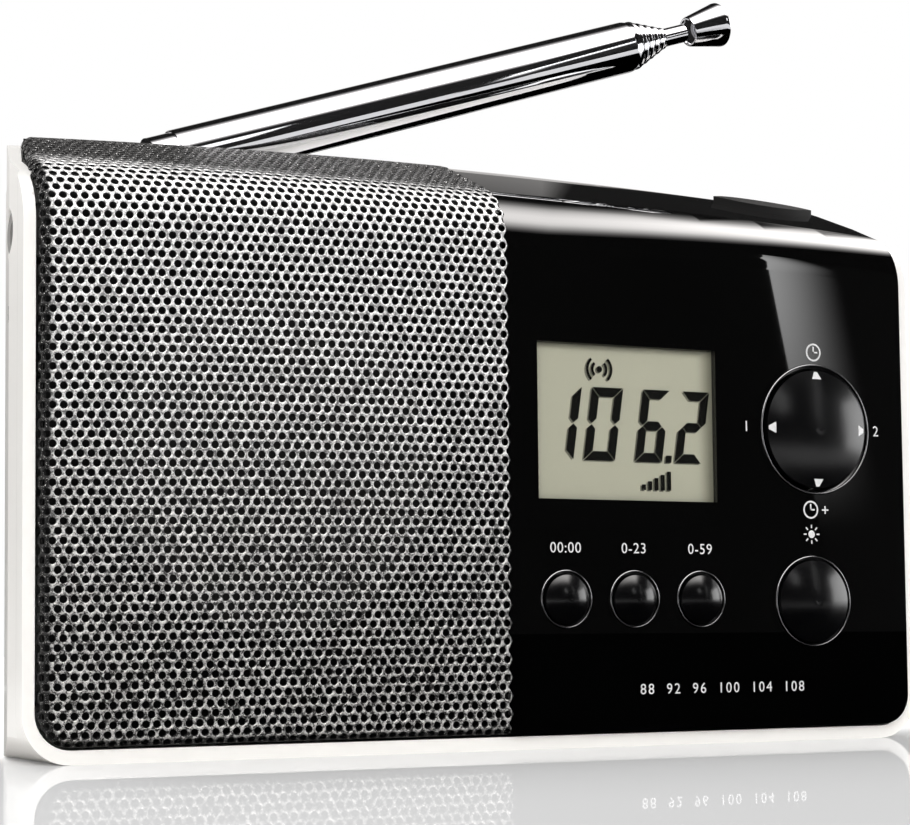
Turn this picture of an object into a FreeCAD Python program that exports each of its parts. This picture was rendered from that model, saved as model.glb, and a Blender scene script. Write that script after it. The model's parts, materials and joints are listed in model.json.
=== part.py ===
"""Pocket radio with a digital display, a perforated speaker grille and a telescopic antenna.

Millimetres.  +X is the viewer's right, the front faces -Y and +Z is up.  The origin is the middle
of the underside.  Every sub-part is an object of one parametric document whose sizes follow the
sheet "Sizes"; each is written to parts/ under its own label.
"""
import FreeCAD, Part
import os
import re
import Sketcher
from FreeCAD import Placement, Rotation, Vector

SIZES = {
    # case
    "grille_width": 57.4, "panel_width": 59, "crown_drop": 1.6, "brow_drop": 8.16,
    "brow_radius": 8.2, "top_slope": 24, "crown_radius": 18,
    "wall": 1.6, "rim_step": 1.1, "rim_width": 1.4, "rim_length": 2.5, "waist": 0.6,
    "waist_length": 1.2, "side_straight": 9, "side_taper": 5.2, "rear_corner_radius": 10,
    "base_edge_radius": 3.6, "base_corner_radius": 5.5, "top_corner_radius": 5,
    "shelf_drop": 7.9, "shelf_depth": 10, "shelf_edge_radius": 1.5, "shelf_root_radius": 0.5,
    "joint_lap": 0.5, "reach": 200,
    # front panel and grille
    "panel_gap": 0.3, "panel_inset": 0.25, "panel_thick": 2, "panel_corner_radius": 3.8,
    "seam_gap": 0.05, "grille_thick": 0.5, "grille_gap": 0.15, "grille_lip": 1.25,
    "grille_back_margin": 0.6,
    # display
    "window_shift": 1.69, "window_width": 25.54, "window_base": 30.2, "window_height": 19.07,
    "lens_flange": 1.2, "lens_flange_thick": 0.8, "lcd_glass_thick": 1.6, "backlight_thick": 2.2,
    "lcd_margin": 0.5, "lcd_gap": 0.1, "connector_inset": 1, "connector_height": 2,
    # keys
    "key_row_z": 18, "key_inset": 3.56, "key_pitch": 9.65, "key_radius": 2.95, "key_dome": 0.95,
    "key_edge": 0.35, "light_end": 16.55, "light_z": 17.75, "light_radius": 5.2, "key_gap": 0.15,
    "ring_width": 0.45, "ring_depth": 1.4, "ring_proud": 0.2, "key_flange": 0.9,
    "key_flange_thick": 0.8, "key_stem_radius": 1.5, "key_travel": 0.5,
    # four-way pad
    "pad_end": 15.7, "pad_z": 39.9, "pad_radius": 7.6, "pad_dome": 1.1, "pad_gap": 0.38,
    "pad_pivot_depth": 4, "pad_post_radius": 1.3, "gimbal_inner": 2.2, "gimbal_outer": 3.2,
    "gimbal_thick": 1.2, "gimbal_pin_radius": 0.4, "gimbal_pin_root": 0.2, "gimbal_pin_seat": 0.7,
    "pad_cup_radius": 3.9, "pad_cup_wall": 1, "pad_cup_rise": 0.15, "pad_finger_offset": 5,
    # circuit board
    "board_front": 9.5, "board_thick": 1.4, "board_margin": 2.74, "board_base": 4.5,
    "board_drop": 12.4, "board_edge_gap": 1.3, "switch_width": 4, "switch_thick": 2,
    "plunger_radius": 0.9, "plunger_length": 0.5, "standoff_radius": 2, "standoff_inset": 3.3,
    "standoff_gap": 9.2, "standoff_base": 8, "standoff_drop": 17.4, "can_gap": 2, "can_drop": 6,
    "can_width": 8.5, "can_height": 8, "can_depth": 3, "chip_gap": 8, "chip_drop": 16,
    "chip_side": 12, "chip_thick": 1.5, "capacitor_gap": 1, "capacitor_drop": 12,
    "capacitor_pitch": 7, "capacitor_radius": 2.5, "capacitor_length": 5.5,
    # screws
    "screw_radius": 0.8, "screw_head_radius": 1.9, "screw_head": 1.1, "screw_sink": 0.5, "pilot_gap": 0.05,
    "boss_radius": 2.4, "boss_end": 11.1, "boss_base": 7, "boss_drop": 14.4, "boss_seam": 16.7,
    "boss_meet": 21, "boss_split": 0.1, "screw_length": 14, "speaker_boss_wall": 0.8,
    # speaker
    "speaker_z": 34, "speaker_radius": 24, "cone_margin": 4, "speaker_flange": 1,
    "basket_depth": 8, "basket_wall": 0.6, "magnet_radius": 11, "magnet_depth": 6.5,
    "dust_cap_radius": 6, "dust_cap_rise": 2, "cone_fold": 1, "cone_proud": 0.5,
    "speaker_screw_gap": 1.6,
    # headphone socket
    "socket_depth": 10.5, "socket_drop": 14.9, "socket_bore": 1.8, "socket_collar": 2.9,
    "socket_gap": 0.15, "socket_body": 11.6, "socket_side": 5.6, "socket_recess": 1,
    "socket_bore_length": 12.6,
    # batteries
    "cell_radius": 7.25, "cell_length": 49.5, "cell_nub_radius": 2.6, "cell_nub": 1,
    "holder_end": 13.9, "holder_wall": 1, "cell_gap": 0.15, "spring_room": 3.1,
    "contact_thick": 0.4, "contact_size": 8, "spring_wire": 0.3, "spring_radius": 3,
    "spring_turns": 3, "spring_link": 0.2, "holder_base_gap": 0.6, "holder_front_gap": 1.45,
    "holder_back_gap": 1, "holder_rib": 0.8, "cell_back_gap": 0.4, "door_margin": 0.6,
    "door_rise": 1.8, "door_gap": 0.15, "door_base_flange": 7, "door_lap": 1,
    "door_tongue": 2.5, "door_tongue_thick": 0.7, "door_tongue_width": 12,
    # volume wheel
    "wheel_radius": 9, "wheel_thick": 3.4, "wheel_end": 8.2, "wheel_depth": 15.3,
    "wheel_gap": 0.4, "wheel_notches": 36, "notch_radius": 0.35, "shaft_radius": 1.5,
    "running_gap": 0.1, "pot_width": 8, "shaft_length": 6,
    # top rocker
    "rocker_end": 13.4, "rocker_half": 8, "rocker_depth": 14.2, "rocker_bulge": 2,
    "rocker_proud": 0.55, "rocker_gap": 0.3, "rocker_thick": 3.4, "rocker_pin_drop": 6.4,
    "rocker_pin_radius": 0.6, "rocker_hub": 3, "rocker_lug": 1, "rocker_lug_rim": 0.6,
    "rocker_board_gap": 3.4, "rocker_board_thick": 1,
    # medium wave aerial
    "rod_radius": 4, "rod_length": 50, "rod_end": 14.3, "rod_back": 9, "rod_gap": 1,
    "rod_room": 2.9, "coil_thick": 0.9, "coil_length": 16, "coil_gap": 0.1, "coil_space": 1.6,
    "clip_width": 3, "clip_wall": 1.4, "clip_gap": 1,
    # telescopic antenna
    "pivot_end": 17.5, "pivot_back": 6, "pivot_rise": 3.9, "antenna_rest": 18.1,
    "tube_radius": 3.5, "tube_wall": 0.3, "tube_gap": 0.15, "tube_start": 8.4, "tube_length": 70,
    "tube_step": 1.25, "tube_chamfer": 0.25, "tube_inset": 1, "tip_radius": 3.45,
    "tip_length": 6.8, "rod_showing": 3.7, "tip_neck": 2.48, "tip_neck_length": 1.5,
    "tip_groove": 2.14, "tip_groove_width": 0.7, "tip_band": 1.1, "tip_edge": 0.3,
    "lug_thick": 3, "lug_radius": 3, "lug_arm": 2.1, "ear_gap": 0.15, "ear_thick": 1.1,
    "ear_radius": 2.75, "hinge_pin_radius": 0.9, "ear_half": 2.56, "turret_radius": 3.9,
    "turret_stub": 3.2, "turret_flange": 0.6, "turret_drop": 1.9, "turret_washer": 0.8,
    "washer_lip": 0.9, "collar_start": 5.2, "collar_radius": 3.25,
}

KEYS = (("button_set_time", 0), ("button_hour", 1), ("button_minute", 2))
TUBES = 5

doc = FreeCAD.newDocument("PocketRadio")
sheet = doc.addObject("Spreadsheet::Sheet", "Sizes")
for row, (alias, value) in enumerate(SIZES.items(), start=1):
    sheet.set("A%d" % row, alias)
    sheet.set("B%d" % row, str(value))
    sheet.setAlias("B%d" % row, alias)
doc.recompute()

ALIASES = re.compile(r"\b(%s)\b" % "|".join(SIZES))
nodes = []


def number(text):
    """The present value of an expression on the sheet."""
    return float(sheet.evalExpression(str(text)))


def drive(item, path, text):
    """Tie one property of an object to the sheet."""
    item.setExpression(path, ALIASES.sub(r"Sizes.\1", str(text)))


def keep(item, label):
    """Mark an object as a finished sub-part."""
    item.Label = label
    nodes.append(item)
    return item


# ---- solids from primitives -------------------------------------------------------------------

AXES = {"x": Rotation(Vector(0, 1, 0), 90), "y": Rotation(Vector(1, 0, 0), -90), "z": Rotation()}


def place(item, corner, turn=Rotation()):
    """Sets an object down at a point whose coordinates follow the sheet."""
    item.Placement = Placement(Vector(*[number(text) for text in corner]), turn)
    for axis, text in zip("xyz", corner):
        drive(item, "Placement.Base." + axis, text)


def box(name, low, high):
    """A block between two opposite corners."""
    item = doc.addObject("Part::Box", name)
    for side, start, end in zip(("Length", "Width", "Height"), low, high):
        drive(item, side, "(%s) - (%s)" % (end, start))
    place(item, low)
    return item


def cylinder(name, axis, start, radius, length):
    """A round bar that starts at a point and runs along +x, +y or +z."""
    item = doc.addObject("Part::Cylinder", name)
    drive(item, "Radius", radius)
    drive(item, "Height", length)
    place(item, start, AXES[axis])
    return item


def fuse(name, shapes):
    if len(shapes) == 1:
        return shapes[0]
    item = doc.addObject("Part::MultiFuse", name)
    item.Shapes = shapes
    return item


def common(name, shapes):
    item = doc.addObject("Part::MultiCommon", name)
    item.Shapes = shapes
    return item


def cut(name, base, tools):
    item = doc.addObject("Part::Cut", name)
    item.Base = base
    item.Tool = fuse(name + "_tools", tools)
    return item


def group(name, shapes):
    """Several identical pieces that share one node as separate solids."""
    item = doc.addObject("Part::Compound", name)
    item.Links = shapes
    return item


# ---- solids from sketches ---------------------------------------------------------------------

def new_body(name):
    return doc.addObject("PartDesign::Body", name)


def draw(body, plane, points, bulge=None):
    """A closed sketch through the points; bulge = (index, radius) makes that side an arc."""
    sketch = body.newObject("Sketcher::SketchObject", body.Name + "_sketch")
    origin = [item for item in body.Origin.OriginFeatures if item.Role == plane + "_Plane"]
    sketch.AttachmentSupport = [(origin[0], "")]
    sketch.MapMode = "FlatFace"
    spots = [Vector(number(x), number(y), 0) for x, y in points]
    for index, spot in enumerate(spots):
        after = spots[(index + 1) % len(spots)]
        if bulge and bulge[0] == index:
            sketch.addGeometry(arc_between(spot, after, number(bulge[1])), False)
        else:
            sketch.addGeometry(Part.LineSegment(spot, after), False)
    for index in range(len(spots)):
        sketch.addConstraint(Sketcher.Constraint("Coincident", index, 2, (index + 1) % len(spots), 1))
    for index, (x, y) in enumerate(points):
        fix_point(sketch, index, 1, x, y)
    if bulge:
        radius = sketch.addConstraint(Sketcher.Constraint("Radius", bulge[0], number(bulge[1])))
        drive(sketch, "Constraints[%d]" % radius, bulge[1])
    return sketch


def arc_between(start, end, radius):
    """The short arc that turns left from start to end."""
    chord = end - start
    middle = (start + end) * 0.5
    side = Vector(chord.y, -chord.x, 0).normalize()
    rise = radius - (radius ** 2 - chord.Length ** 2 / 4) ** 0.5
    return Part.Arc(start, middle + side * rise, end)


def fix_point(sketch, geometry, end, x, y):
    for kind, text in (("DistanceX", x), ("DistanceY", y)):
        place_at = sketch.addConstraint(Sketcher.Constraint(kind, -1, 1, geometry, end, number(text)))
        drive(sketch, "Constraints[%d]" % place_at, text)


def pad(body, sketch, length):
    """A pad of the sketch to both sides of its plane."""
    feature = body.newObject("PartDesign::Pad", body.Name + "_pad")
    feature.Profile = sketch
    feature.Midplane = True
    drive(feature, "Length", length)
    doc.recompute()
    return feature


def spin(body, sketch, axis="V_Axis"):
    """A full turn of the sketch about one of its axes."""
    feature = body.newObject("PartDesign::Revolution", body.Name + "_turned")
    feature.Profile = sketch
    feature.ReferenceAxis = (sketch, [axis])
    feature.Angle = 360
    doc.recompute()
    return feature


def round_edges(body, points, radius):
    """Rounds the edges of a body that pass through the points."""
    feature = body.newObject("PartDesign::Fillet", body.Name + "_round")
    base = [item for item in body.Group if item.isDerivedFrom("PartDesign::Feature")][-2]
    spots = [Part.Vertex(Vector(*[number(text) for text in point])) for point in points]
    names = []
    for index, edge in enumerate(base.Shape.Edges, start=1):
        if any(edge.distToShape(spot)[0] < 0.01 for spot in spots):
            names.append("Edge%d" % index)
    feature.Base = (base, names)
    drive(feature, "Radius", radius)
    doc.recompute()
    return feature


def turned(name, plane, points, axis="V_Axis", bulge=None):
    """A turned piece: the points are (radius, height) or (length, radius) pairs."""
    body = new_body(name)
    spin(body, draw(body, plane, points, bulge), axis)
    return body


# ---- the case's form --------------------------------------------------------------------------
# Its height follows from the batteries, the wheel and the aerial rod stacked under the shelf, its
# depth from the board and the batteries behind it, and its width from the grille and the panel.

CELL_SIDE = "(cell_radius * 2 + cell_gap * 2)"
HOLDER_BASE = "(wall + holder_base_gap)"
HOLDER_TOP = "(%s + holder_wall * 2 + holder_rib + %s * 2)" % (HOLDER_BASE, CELL_SIDE)
WHEEL_Z = "(%s + wheel_gap + wheel_radius)" % HOLDER_TOP
ROD_Z = "(%s + wheel_radius + rod_gap + rod_radius)" % WHEEL_Z
SHELF = "(%s + rod_radius + rod_room + wall)" % ROD_Z
CROWN = "(%s + shelf_drop)" % SHELF
BROW = "(%s - brow_drop)" % CROWN

WIDTH = "(grille_width + panel_width + (rim_width + panel_gap) * 2)"
HALF = "(%s / 2)" % WIDTH
SEAM = "(%s - rim_width - panel_gap - panel_width)" % HALF
CROWN_SWEEP = "(%s ^ 2 / (8 * crown_drop))" % WIDTH

DEPTH = ("(board_front + board_thick + holder_front_gap + holder_wall + cell_gap"
         " + cell_radius * 2 + cell_back_gap + wall)")
FRONT = "(-%s / 2)" % DEPTH
BACK = "(%s / 2)" % DEPTH


def profile_form(name, inset):
    """The case seen from its end, inside its skin by inset, swept along the crown's long arc."""
    body = new_body(name)
    front = "%s + (%s)" % (FRONT, inset)
    brow = "%s + (%s) * (tan(top_slope) - 1 / cos(top_slope))" % (BROW, inset)
    run = "(brow_drop + (%s) * (1 / cos(top_slope) - 1)) / tan(top_slope)" % inset
    knee = "%s + %s" % (FRONT, run)
    crown = "%s - (%s)" % (CROWN, inset)
    points = [(front, "-wall"), (BACK, "-wall"), (BACK, crown), (knee, crown), (front, brow)]
    sketch = draw(body, "YZ", points)
    axis = sketch.addGeometry(Part.LineSegment(Vector(-5, -1, 0), Vector(5, -1, 0)), True)
    centre = "%s - %s" % (CROWN, CROWN_SWEEP)
    fix_point(sketch, axis, 1, FRONT, centre)
    fix_point(sketch, axis, 2, BACK, centre)
    feature = body.newObject("PartDesign::Revolution", name + "_swept")
    feature.Profile = sketch
    feature.ReferenceAxis = (sketch, ["Axis0"])
    feature.Midplane = True
    drive(feature, "Angle", "2 * atan(%s / %s)" % (WIDTH, CROWN_SWEEP))
    doc.recompute()
    round_edges(body, [("0", front, brow)], "brow_radius - (%s)" % inset)
    round_edges(body, [("0", knee, crown)], "crown_radius - (%s)" % inset)
    return body


def outline_form(name, half, base, base_radius, top_radius):
    """The case seen from the front: upright sides, rounded corners and a gently crowned top."""
    body = new_body(name)
    shoulder = CROWN + " - crown_drop + panel_gap"
    points = [("-(%s)" % half, base), (half, base), (half, shoulder), ("-(%s)" % half, shoulder)]
    pad(body, draw(body, "XZ", points, bulge=(2, CROWN_SWEEP)), "reach")
    round_edges(body, [(half, "0", base), ("-(%s)" % half, "0", base)], base_radius)
    round_edges(body, [(half, "0", shoulder), ("-(%s)" % half, "0", shoulder)], top_radius)
    return body


def plan_form(name, inset):
    """The case seen from above: a rim, a waist behind it, then sides that close in slightly."""
    body = new_body(name)
    rim = "%s - (%s)" % (HALF, inset)
    side = rim + " - waist"
    tail = side + " - side_taper"
    rim_back = FRONT + " + rim_step + rim_length"
    waist_back = rim_back + " + waist_length"
    bend = FRONT + " + side_straight"
    back = "%s - (%s)" % (BACK, inset)
    right = [(rim, "-reach"), (rim, rim_back), (side, waist_back), (side, bend), (tail, back)]
    left = [("-(%s)" % x, y) for x, y in reversed(right)]
    pad(body, draw(body, "XY", right + left), "reach * 2")
    for x, y, radius in ((rim, rim_back, "waist_length"), (side, waist_back, "waist_length"),
                         (tail, back, "rear_corner_radius - (%s)" % inset)):
        round_edges(body, [(x, y, "0"), ("-(%s)" % x, y, "0")], radius)
    return body


def end_form(name, inset, shelf_front, edge_radius):
    """The case seen from its end behind the crown: underside, back and the antenna's shelf."""
    body = new_body(name)
    base = inset
    back = "%s - (%s)" % (BACK, inset)
    shelf = "%s - (%s)" % (SHELF, inset)
    points = [("-reach", base), (back, base), (back, shelf), (shelf_front, shelf),
              (shelf_front, "reach"), ("-reach", "reach")]
    pad(body, draw(body, "YZ", points), "reach * 2")
    round_edges(body, [("0", back, base)], "base_edge_radius - (%s)" % inset)
    round_edges(body, [("0", back, shelf)], edge_radius)
    return body


# ---- shells -----------------------------------------------------------------------------------

SHELF_FRONT = "(%s - shelf_depth)" % BACK
OPENING = "(%s - rim_width)" % HALF
PANEL_HALF = "(%s - rim_width - panel_gap)" % HALF
PANEL_BASE = "(wall + panel_gap)"
PANEL_FRONT = "(%s + panel_inset)" % FRONT
PANEL_BACK = "(%s + panel_thick)" % PANEL_FRONT
PANEL_REAR = "(%s - wall - panel_gap)" % SHELF_FRONT
GRILLE_REAR = "(%s - grille_back_margin)" % PANEL_REAR
BACK_INNER = "(%s - wall)" % BACK
SHELF_UNDER = "(%s - wall)" % SHELF
SCREW_SEAT = "(%s - wall - screw_head - screw_sink)" % BACK
BOSS_MEET = "(%s + boss_meet)" % FRONT
BOSS_X = "(%s - boss_end)" % HALF
BOSS_TOP = "(%s - boss_drop)" % CROWN
HOLDER_LENGTH = "(cell_length + cell_nub + spring_room + contact_thick * 2 + holder_wall * 2)"
HOLDER_LEFT = "(%s - holder_end - %s)" % (HALF, HOLDER_LENGTH)


def boss_spots():
    """Centres of the four case screws."""
    return (("-" + BOSS_X, "boss_base"), (BOSS_X, "boss_base"),
            (SEAM + " - boss_seam", BOSS_TOP), (BOSS_X, BOSS_TOP))


def case_outer():
    """The light moulding's outer form."""
    return common("case_outer", [
        profile_form("case_profile", "rim_step"),
        outline_form("case_outline", HALF, "0", "base_corner_radius", "top_corner_radius"),
        plan_form("case_plan", "0"),
        end_form("case_end", "0", SHELF_FRONT, "shelf_edge_radius")])


def case_hollow(outer):
    """The light moulding's wall: underside, ends, back and the antenna's shelf."""
    inner = common("case_inner", [
        outline_form("opening_outline", OPENING, "wall", "base_corner_radius - rim_width",
                     "top_corner_radius - rim_width"),
        plan_form("opening_plan", "rim_width"),
        end_form("opening_end", "wall", SHELF_FRONT + " - wall", "shelf_root_radius")])
    return cut("case_hollow", outer, [inner])


def case_bosses(outer):
    """Posts for the case screws, trimmed where the rear corners curve away from them."""
    bosses = []
    for index, (x, z) in enumerate(boss_spots()):
        start = BOSS_MEET + " + boss_split"
        length = "%s + joint_lap - (%s)" % (BACK_INNER, start)
        post = cylinder("case_post_%d" % index, "y", (x, start, z), "boss_radius", length)
        bosses.append(common("case_boss_%d" % index, [post, outer]))
    return bosses


def door_block(name, gap):
    """The space of the battery door: low on the back, round the lower edge and under it."""
    left = "%s + door_margin + (%s)" % (HOLDER_LEFT, gap)
    right = "%s + %s - door_margin - (%s)" % (HOLDER_LEFT, HOLDER_LENGTH, gap)
    top = "%s + door_rise - (%s)" % (HOLDER_TOP, gap)
    under = "%s - door_base_flange + (%s)" % (BACK, gap)
    lower = box(name + "_under", (left, under, "-wall"), (right, BACK + " + wall", "wall + door_lap"))
    upper = box(name + "_back", (left, BACK_INNER + " - door_lap", "-wall"),
                (right, BACK + " + wall", top))
    return fuse(name, [lower, upper])


def rear_shell(outer, hollow):
    """The light moulding with its screw bosses and every way through its wall."""
    tub = fuse("case_tub", [hollow] + case_bosses(outer))
    holes = [door_block("door_opening", "0")]
    for index, (x, z) in enumerate(boss_spots()):
        holes.append(cylinder("case_screw_way_%d" % index, "y", (x, BOSS_MEET, z),
                              "screw_radius + running_gap * 2", "reach"))
        holes.append(cylinder("case_screw_sink_%d" % index, "y",
                              (x, SCREW_SEAT, z), "screw_head_radius + running_gap * 2", "reach"))
    holes.append(cylinder("turret_way", "z", (PIVOT[0], PIVOT[1], SHELF_UNDER + " - wall"),
                          "turret_stub + running_gap", "wall * 4"))
    holes.append(cylinder("socket_way", "x", ("-reach", SOCKET_Y, SOCKET_Z),
                          "socket_collar + socket_gap", "reach - %s + wall * 2" % HALF))
    holes.append(wheel_slot())
    keep(cut("rear_shell_cut", tub, holes), "rear_shell")


def battery_door(hollow):
    """The part of the same wall inside the door's gap, with a tongue behind the shell above it."""
    panel = common("door_panel", [hollow, door_block("door_space", "door_gap")])
    middle = "%s + %s / 2" % (HOLDER_LEFT, HOLDER_LENGTH)
    left = middle + " - door_tongue_width / 2"
    right = middle + " + door_tongue_width / 2"
    front = BACK_INNER + " - door_gap - door_tongue_thick"
    base = HOLDER_TOP + " + door_gap * 2"
    top = "(%s + door_rise - door_gap)" % HOLDER_TOP
    tongue = box("door_tongue", (left, front, base),
                 (right, BACK_INNER + " - door_gap", top + " + door_tongue"))
    root = box("door_tongue_root", (left, front, base), (right, BACK_INNER + " + joint_lap", top))
    keep(fuse("door_fused", [panel, tongue, root]), "battery_door")


def skin(name, inset, edges, low, high):
    """The case's form inside its skin by inset, within its edges and between two corners."""
    block = box(name + "_block", low, high)
    return common(name, [profile_form(name + "_profile", inset)] + edges + [block])


def panel_edges(name, inset):
    """The panel's outline from the front and from above, inside its edge by inset."""
    outline = outline_form(name + "_outline", PANEL_HALF + " - " + inset, PANEL_BASE + " + " + inset,
                           "panel_corner_radius - " + inset, "top_corner_radius - rim_width - " + inset)
    return [outline, plan_form(name + "_plan", "rim_width + panel_gap + " + inset)]


def front_fascia(edges):
    """The glossy panel: full thickness right of the seam, let in behind the grille left of it."""
    core_inset = "(grille_thick + grille_gap)"
    seam = "(%s + seam_gap)" % SEAM
    right = skin("fascia_right", "panel_inset", edges, (seam, "-reach", "-wall"),
                 ("reach", PANEL_REAR, "reach"))
    left = skin("fascia_left", core_inset, panel_edges("core", core_inset),
                ("-reach", "-reach", "-wall"), (seam, PANEL_REAR, "reach"))
    strip = skin("fascia_strip", "panel_inset", edges,
                 ("-reach", GRILLE_REAR + " + grille_gap", BROW), (seam, PANEL_REAR, "reach"))
    plate = cut("fascia_plate", fuse("fascia_faces", [right, left, strip]),
                [profile_form("fascia_inside", "panel_inset + panel_thick")])
    solid = fuse("fascia_solid", [plate] + fascia_bosses() + rocker_lugs() + [socket_rib()])
    keep(cut("fascia_cut", solid, fascia_holes()), "front_fascia")


def fascia_bosses():
    """Tubes behind the panel for the screws of the case, the board and the speaker."""
    parts = []
    inside = PANEL_BACK + " - joint_lap"
    for index, (x, z) in enumerate(boss_spots()):
        length = "%s - (%s)" % (BOSS_MEET, inside)
        parts.append(cylinder("fascia_boss_%d" % index, "y", (x, inside, z), "boss_radius", length))
    for index, (x, z) in enumerate(standoffs()):
        length = "%s - (%s)" % (BOARD_FRONT, inside)
        parts.append(cylinder("standoff_%d" % index, "y", (x, inside, z), "standoff_radius", length))
    for index, (x, z) in enumerate(speaker_screw_spots()):
        parts.append(cylinder("speaker_boss_%d" % index, "y", (x, inside, z),
                              "screw_radius + speaker_boss_wall", "speaker_flange + joint_lap"))
    return parts


def socket_rib():
    """The rib on the panel that the headphone socket's body rests on."""
    start = "-%s + socket_side / 2" % OPENING
    return box("socket_rib", (start, PANEL_BACK + " - joint_lap", SOCKET_Z + " - socket_side / 2"),
               (start + " + socket_side", SOCKET_Y + " - socket_side / 2 - running_gap",
                SOCKET_Z + " + socket_side / 2"))


def fascia_holes():
    holes = [window_box("window_hole", "running_gap / 2", "-reach", "0")]
    for name, x, z, radius, gap in ring_spots():
        across = "%s + %s + ring_width + running_gap / 2" % (radius, gap)
        holes.append(cylinder(name + "_hole", "y", (x, "-reach", z), across, "reach"))
    for index, (x, z) in enumerate(boss_spots()):
        holes.append(cylinder("boss_pilot_%d" % index, "y", (x, BOSS_MEET + " - screw_length", z),
                              "screw_radius + pilot_gap", "reach"))
    for index, (x, z) in enumerate(standoffs()):
        holes.append(cylinder("standoff_pilot_%d" % index, "y", (x, BOARD_FRONT + " - panel_thick * 2", z),
                              "screw_radius + pilot_gap", "reach"))
    for index, (x, z) in enumerate(speaker_screw_spots()):
        holes.append(cylinder("speaker_pilot_%d" % index, "y",
                              (x, PANEL_BACK + " - panel_thick / 2", z),
                              "screw_radius + pilot_gap", "reach"))
    holes.append(cylinder("speaker_hole", "y", (SPEAKER_X, "-reach", "speaker_z"),
                          CONE + " + running_gap", "reach"))
    holes.append(rocker_hole())
    holes.append(cylinder("rocker_pin_way", "y",
                          (ROCKER_X, ROCKER_Y + " - rocker_bulge - rocker_lug * 2", ROCKER_PIN_Z),
                          "rocker_pin_radius + pilot_gap", "rocker_bulge * 2 + rocker_lug * 4"))
    return holes


def speaker_grille(edges):
    """The perforated sheet, folded back at its left and lower edges."""
    outer = skin("grille_outer", "0", edges, ("-reach", "-reach", "-wall"),
                 (SEAM, GRILLE_REAR, "reach"))
    inner = common("grille_inside", [profile_form("grille_inside_profile", "grille_thick")]
                   + panel_edges("grille_inside", "grille_thick"))
    deep = profile_form("grille_lip_profile", "grille_lip")
    keep(cut("grille_cut", outer, [inner, deep]), "speaker_grille")


# ---- display ----------------------------------------------------------------------------------

PAD_X = "(%s - pad_end)" % HALF
WINDOW_MIDDLE = "((%s + %s - pad_radius) / 2 - window_shift)" % (SEAM, PAD_X)
WINDOW_LEFT = "(%s - window_width / 2)" % WINDOW_MIDDLE
WINDOW_RIGHT = "(%s + window_width / 2)" % WINDOW_MIDDLE
WINDOW_TOP = "(window_base + window_height)"
LENS_BACK = "(%s + lens_flange_thick)" % PANEL_BACK
GLASS_BACK = "(%s + lcd_glass_thick)" % LENS_BACK
LIGHT_BACK = "(%s + backlight_thick)" % GLASS_BACK
BOARD_FRONT = "(%s + board_front)" % FRONT
BOARD_BACK = "(%s + board_thick)" % BOARD_FRONT


def window_box(name, margin, front, back):
    """A block behind the window, larger than it by margin all round."""
    return box(name, ("%s - (%s)" % (WINDOW_LEFT, margin), front, "window_base - (%s)" % margin),
               ("%s + (%s)" % (WINDOW_RIGHT, margin), back, "%s + (%s)" % (WINDOW_TOP, margin)))


def display():
    """The clear window, the glass and light behind it, their frame and the strip to the board."""
    pane = window_box("lens_pane", "0", PANEL_FRONT, LENS_BACK)
    flange = window_box("lens_rim", "lens_flange", PANEL_BACK, LENS_BACK)
    keep(fuse("lens", [pane, flange]), "display_lens")
    keep(window_box("glass", "lcd_margin", LENS_BACK, GLASS_BACK), "lcd_glass")
    keep(window_box("light", "lcd_margin", GLASS_BACK, LIGHT_BACK), "lcd_backlight")
    frame = window_box("frame_block", "lens_flange", LENS_BACK, BOARD_FRONT)
    room = window_box("frame_room", "lcd_margin + lcd_gap", "-reach", "0")
    keep(cut("frame", frame, [room]), "lcd_frame")
    strip = box("strip", (WINDOW_LEFT + " + connector_inset", LIGHT_BACK, "window_base"),
                (WINDOW_RIGHT + " - connector_inset", BOARD_FRONT, "window_base + connector_height"))
    keep(strip, "lcd_connector")


# ---- keys -------------------------------------------------------------------------------------

SWITCH_FRONT = "(%s - switch_thick - plunger_length)" % BOARD_FRONT


def ring_spots():
    """Name, place, radius and gap of every round control on the panel."""
    first = WINDOW_LEFT + " + key_inset"
    spots = [(name, "%s + key_pitch * %d" % (first, index), "key_row_z", "key_radius", "key_gap")
             for name, index in KEYS]
    spots.append(("button_light", HALF + " - light_end", "light_z", "light_radius", "key_gap"))
    spots.append(("dpad", PAD_X, "pad_z", "pad_radius", "pad_gap"))
    return spots


def button_rings():
    rings = []
    for name, x, z, radius, gap in ring_spots():
        start = (x, PANEL_FRONT + " - ring_proud", z)
        outer = cylinder(name + "_ring_outer", "y", start, "%s + %s + ring_width" % (radius, gap),
                         "ring_depth")
        inner = cylinder(name + "_ring_inner", "y", (x, "-reach", z), "%s + %s" % (radius, gap),
                         "reach")
        rings.append(cut(name + "_ring", outer, [inner]))
    keep(group("rings", rings), "button_rings")


def button(name, x, z, radius):
    """A domed cap with a flange behind the panel and a stem to its switch."""
    edge = PANEL_FRONT + " - key_edge"
    flange = PANEL_BACK + " + key_gap"
    flange_back = flange + " + key_flange_thick"
    tip = SWITCH_FRONT + " - key_travel - key_gap"
    top = edge + " - key_dome"
    points = [("0", top), (radius, edge), (radius, flange), (radius + " + key_flange", flange),
              (radius + " + key_flange", flange_back), ("key_stem_radius", flange_back),
              ("key_stem_radius", tip), ("0", tip)]
    dome = "(%s ^ 2 + key_dome ^ 2) / (2 * key_dome)" % radius
    body = new_body(name)
    spin(body, draw(body, "XY", points, bulge=(0, dome)))
    place(body, (x, "0", z))
    keep(body, name)


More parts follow.
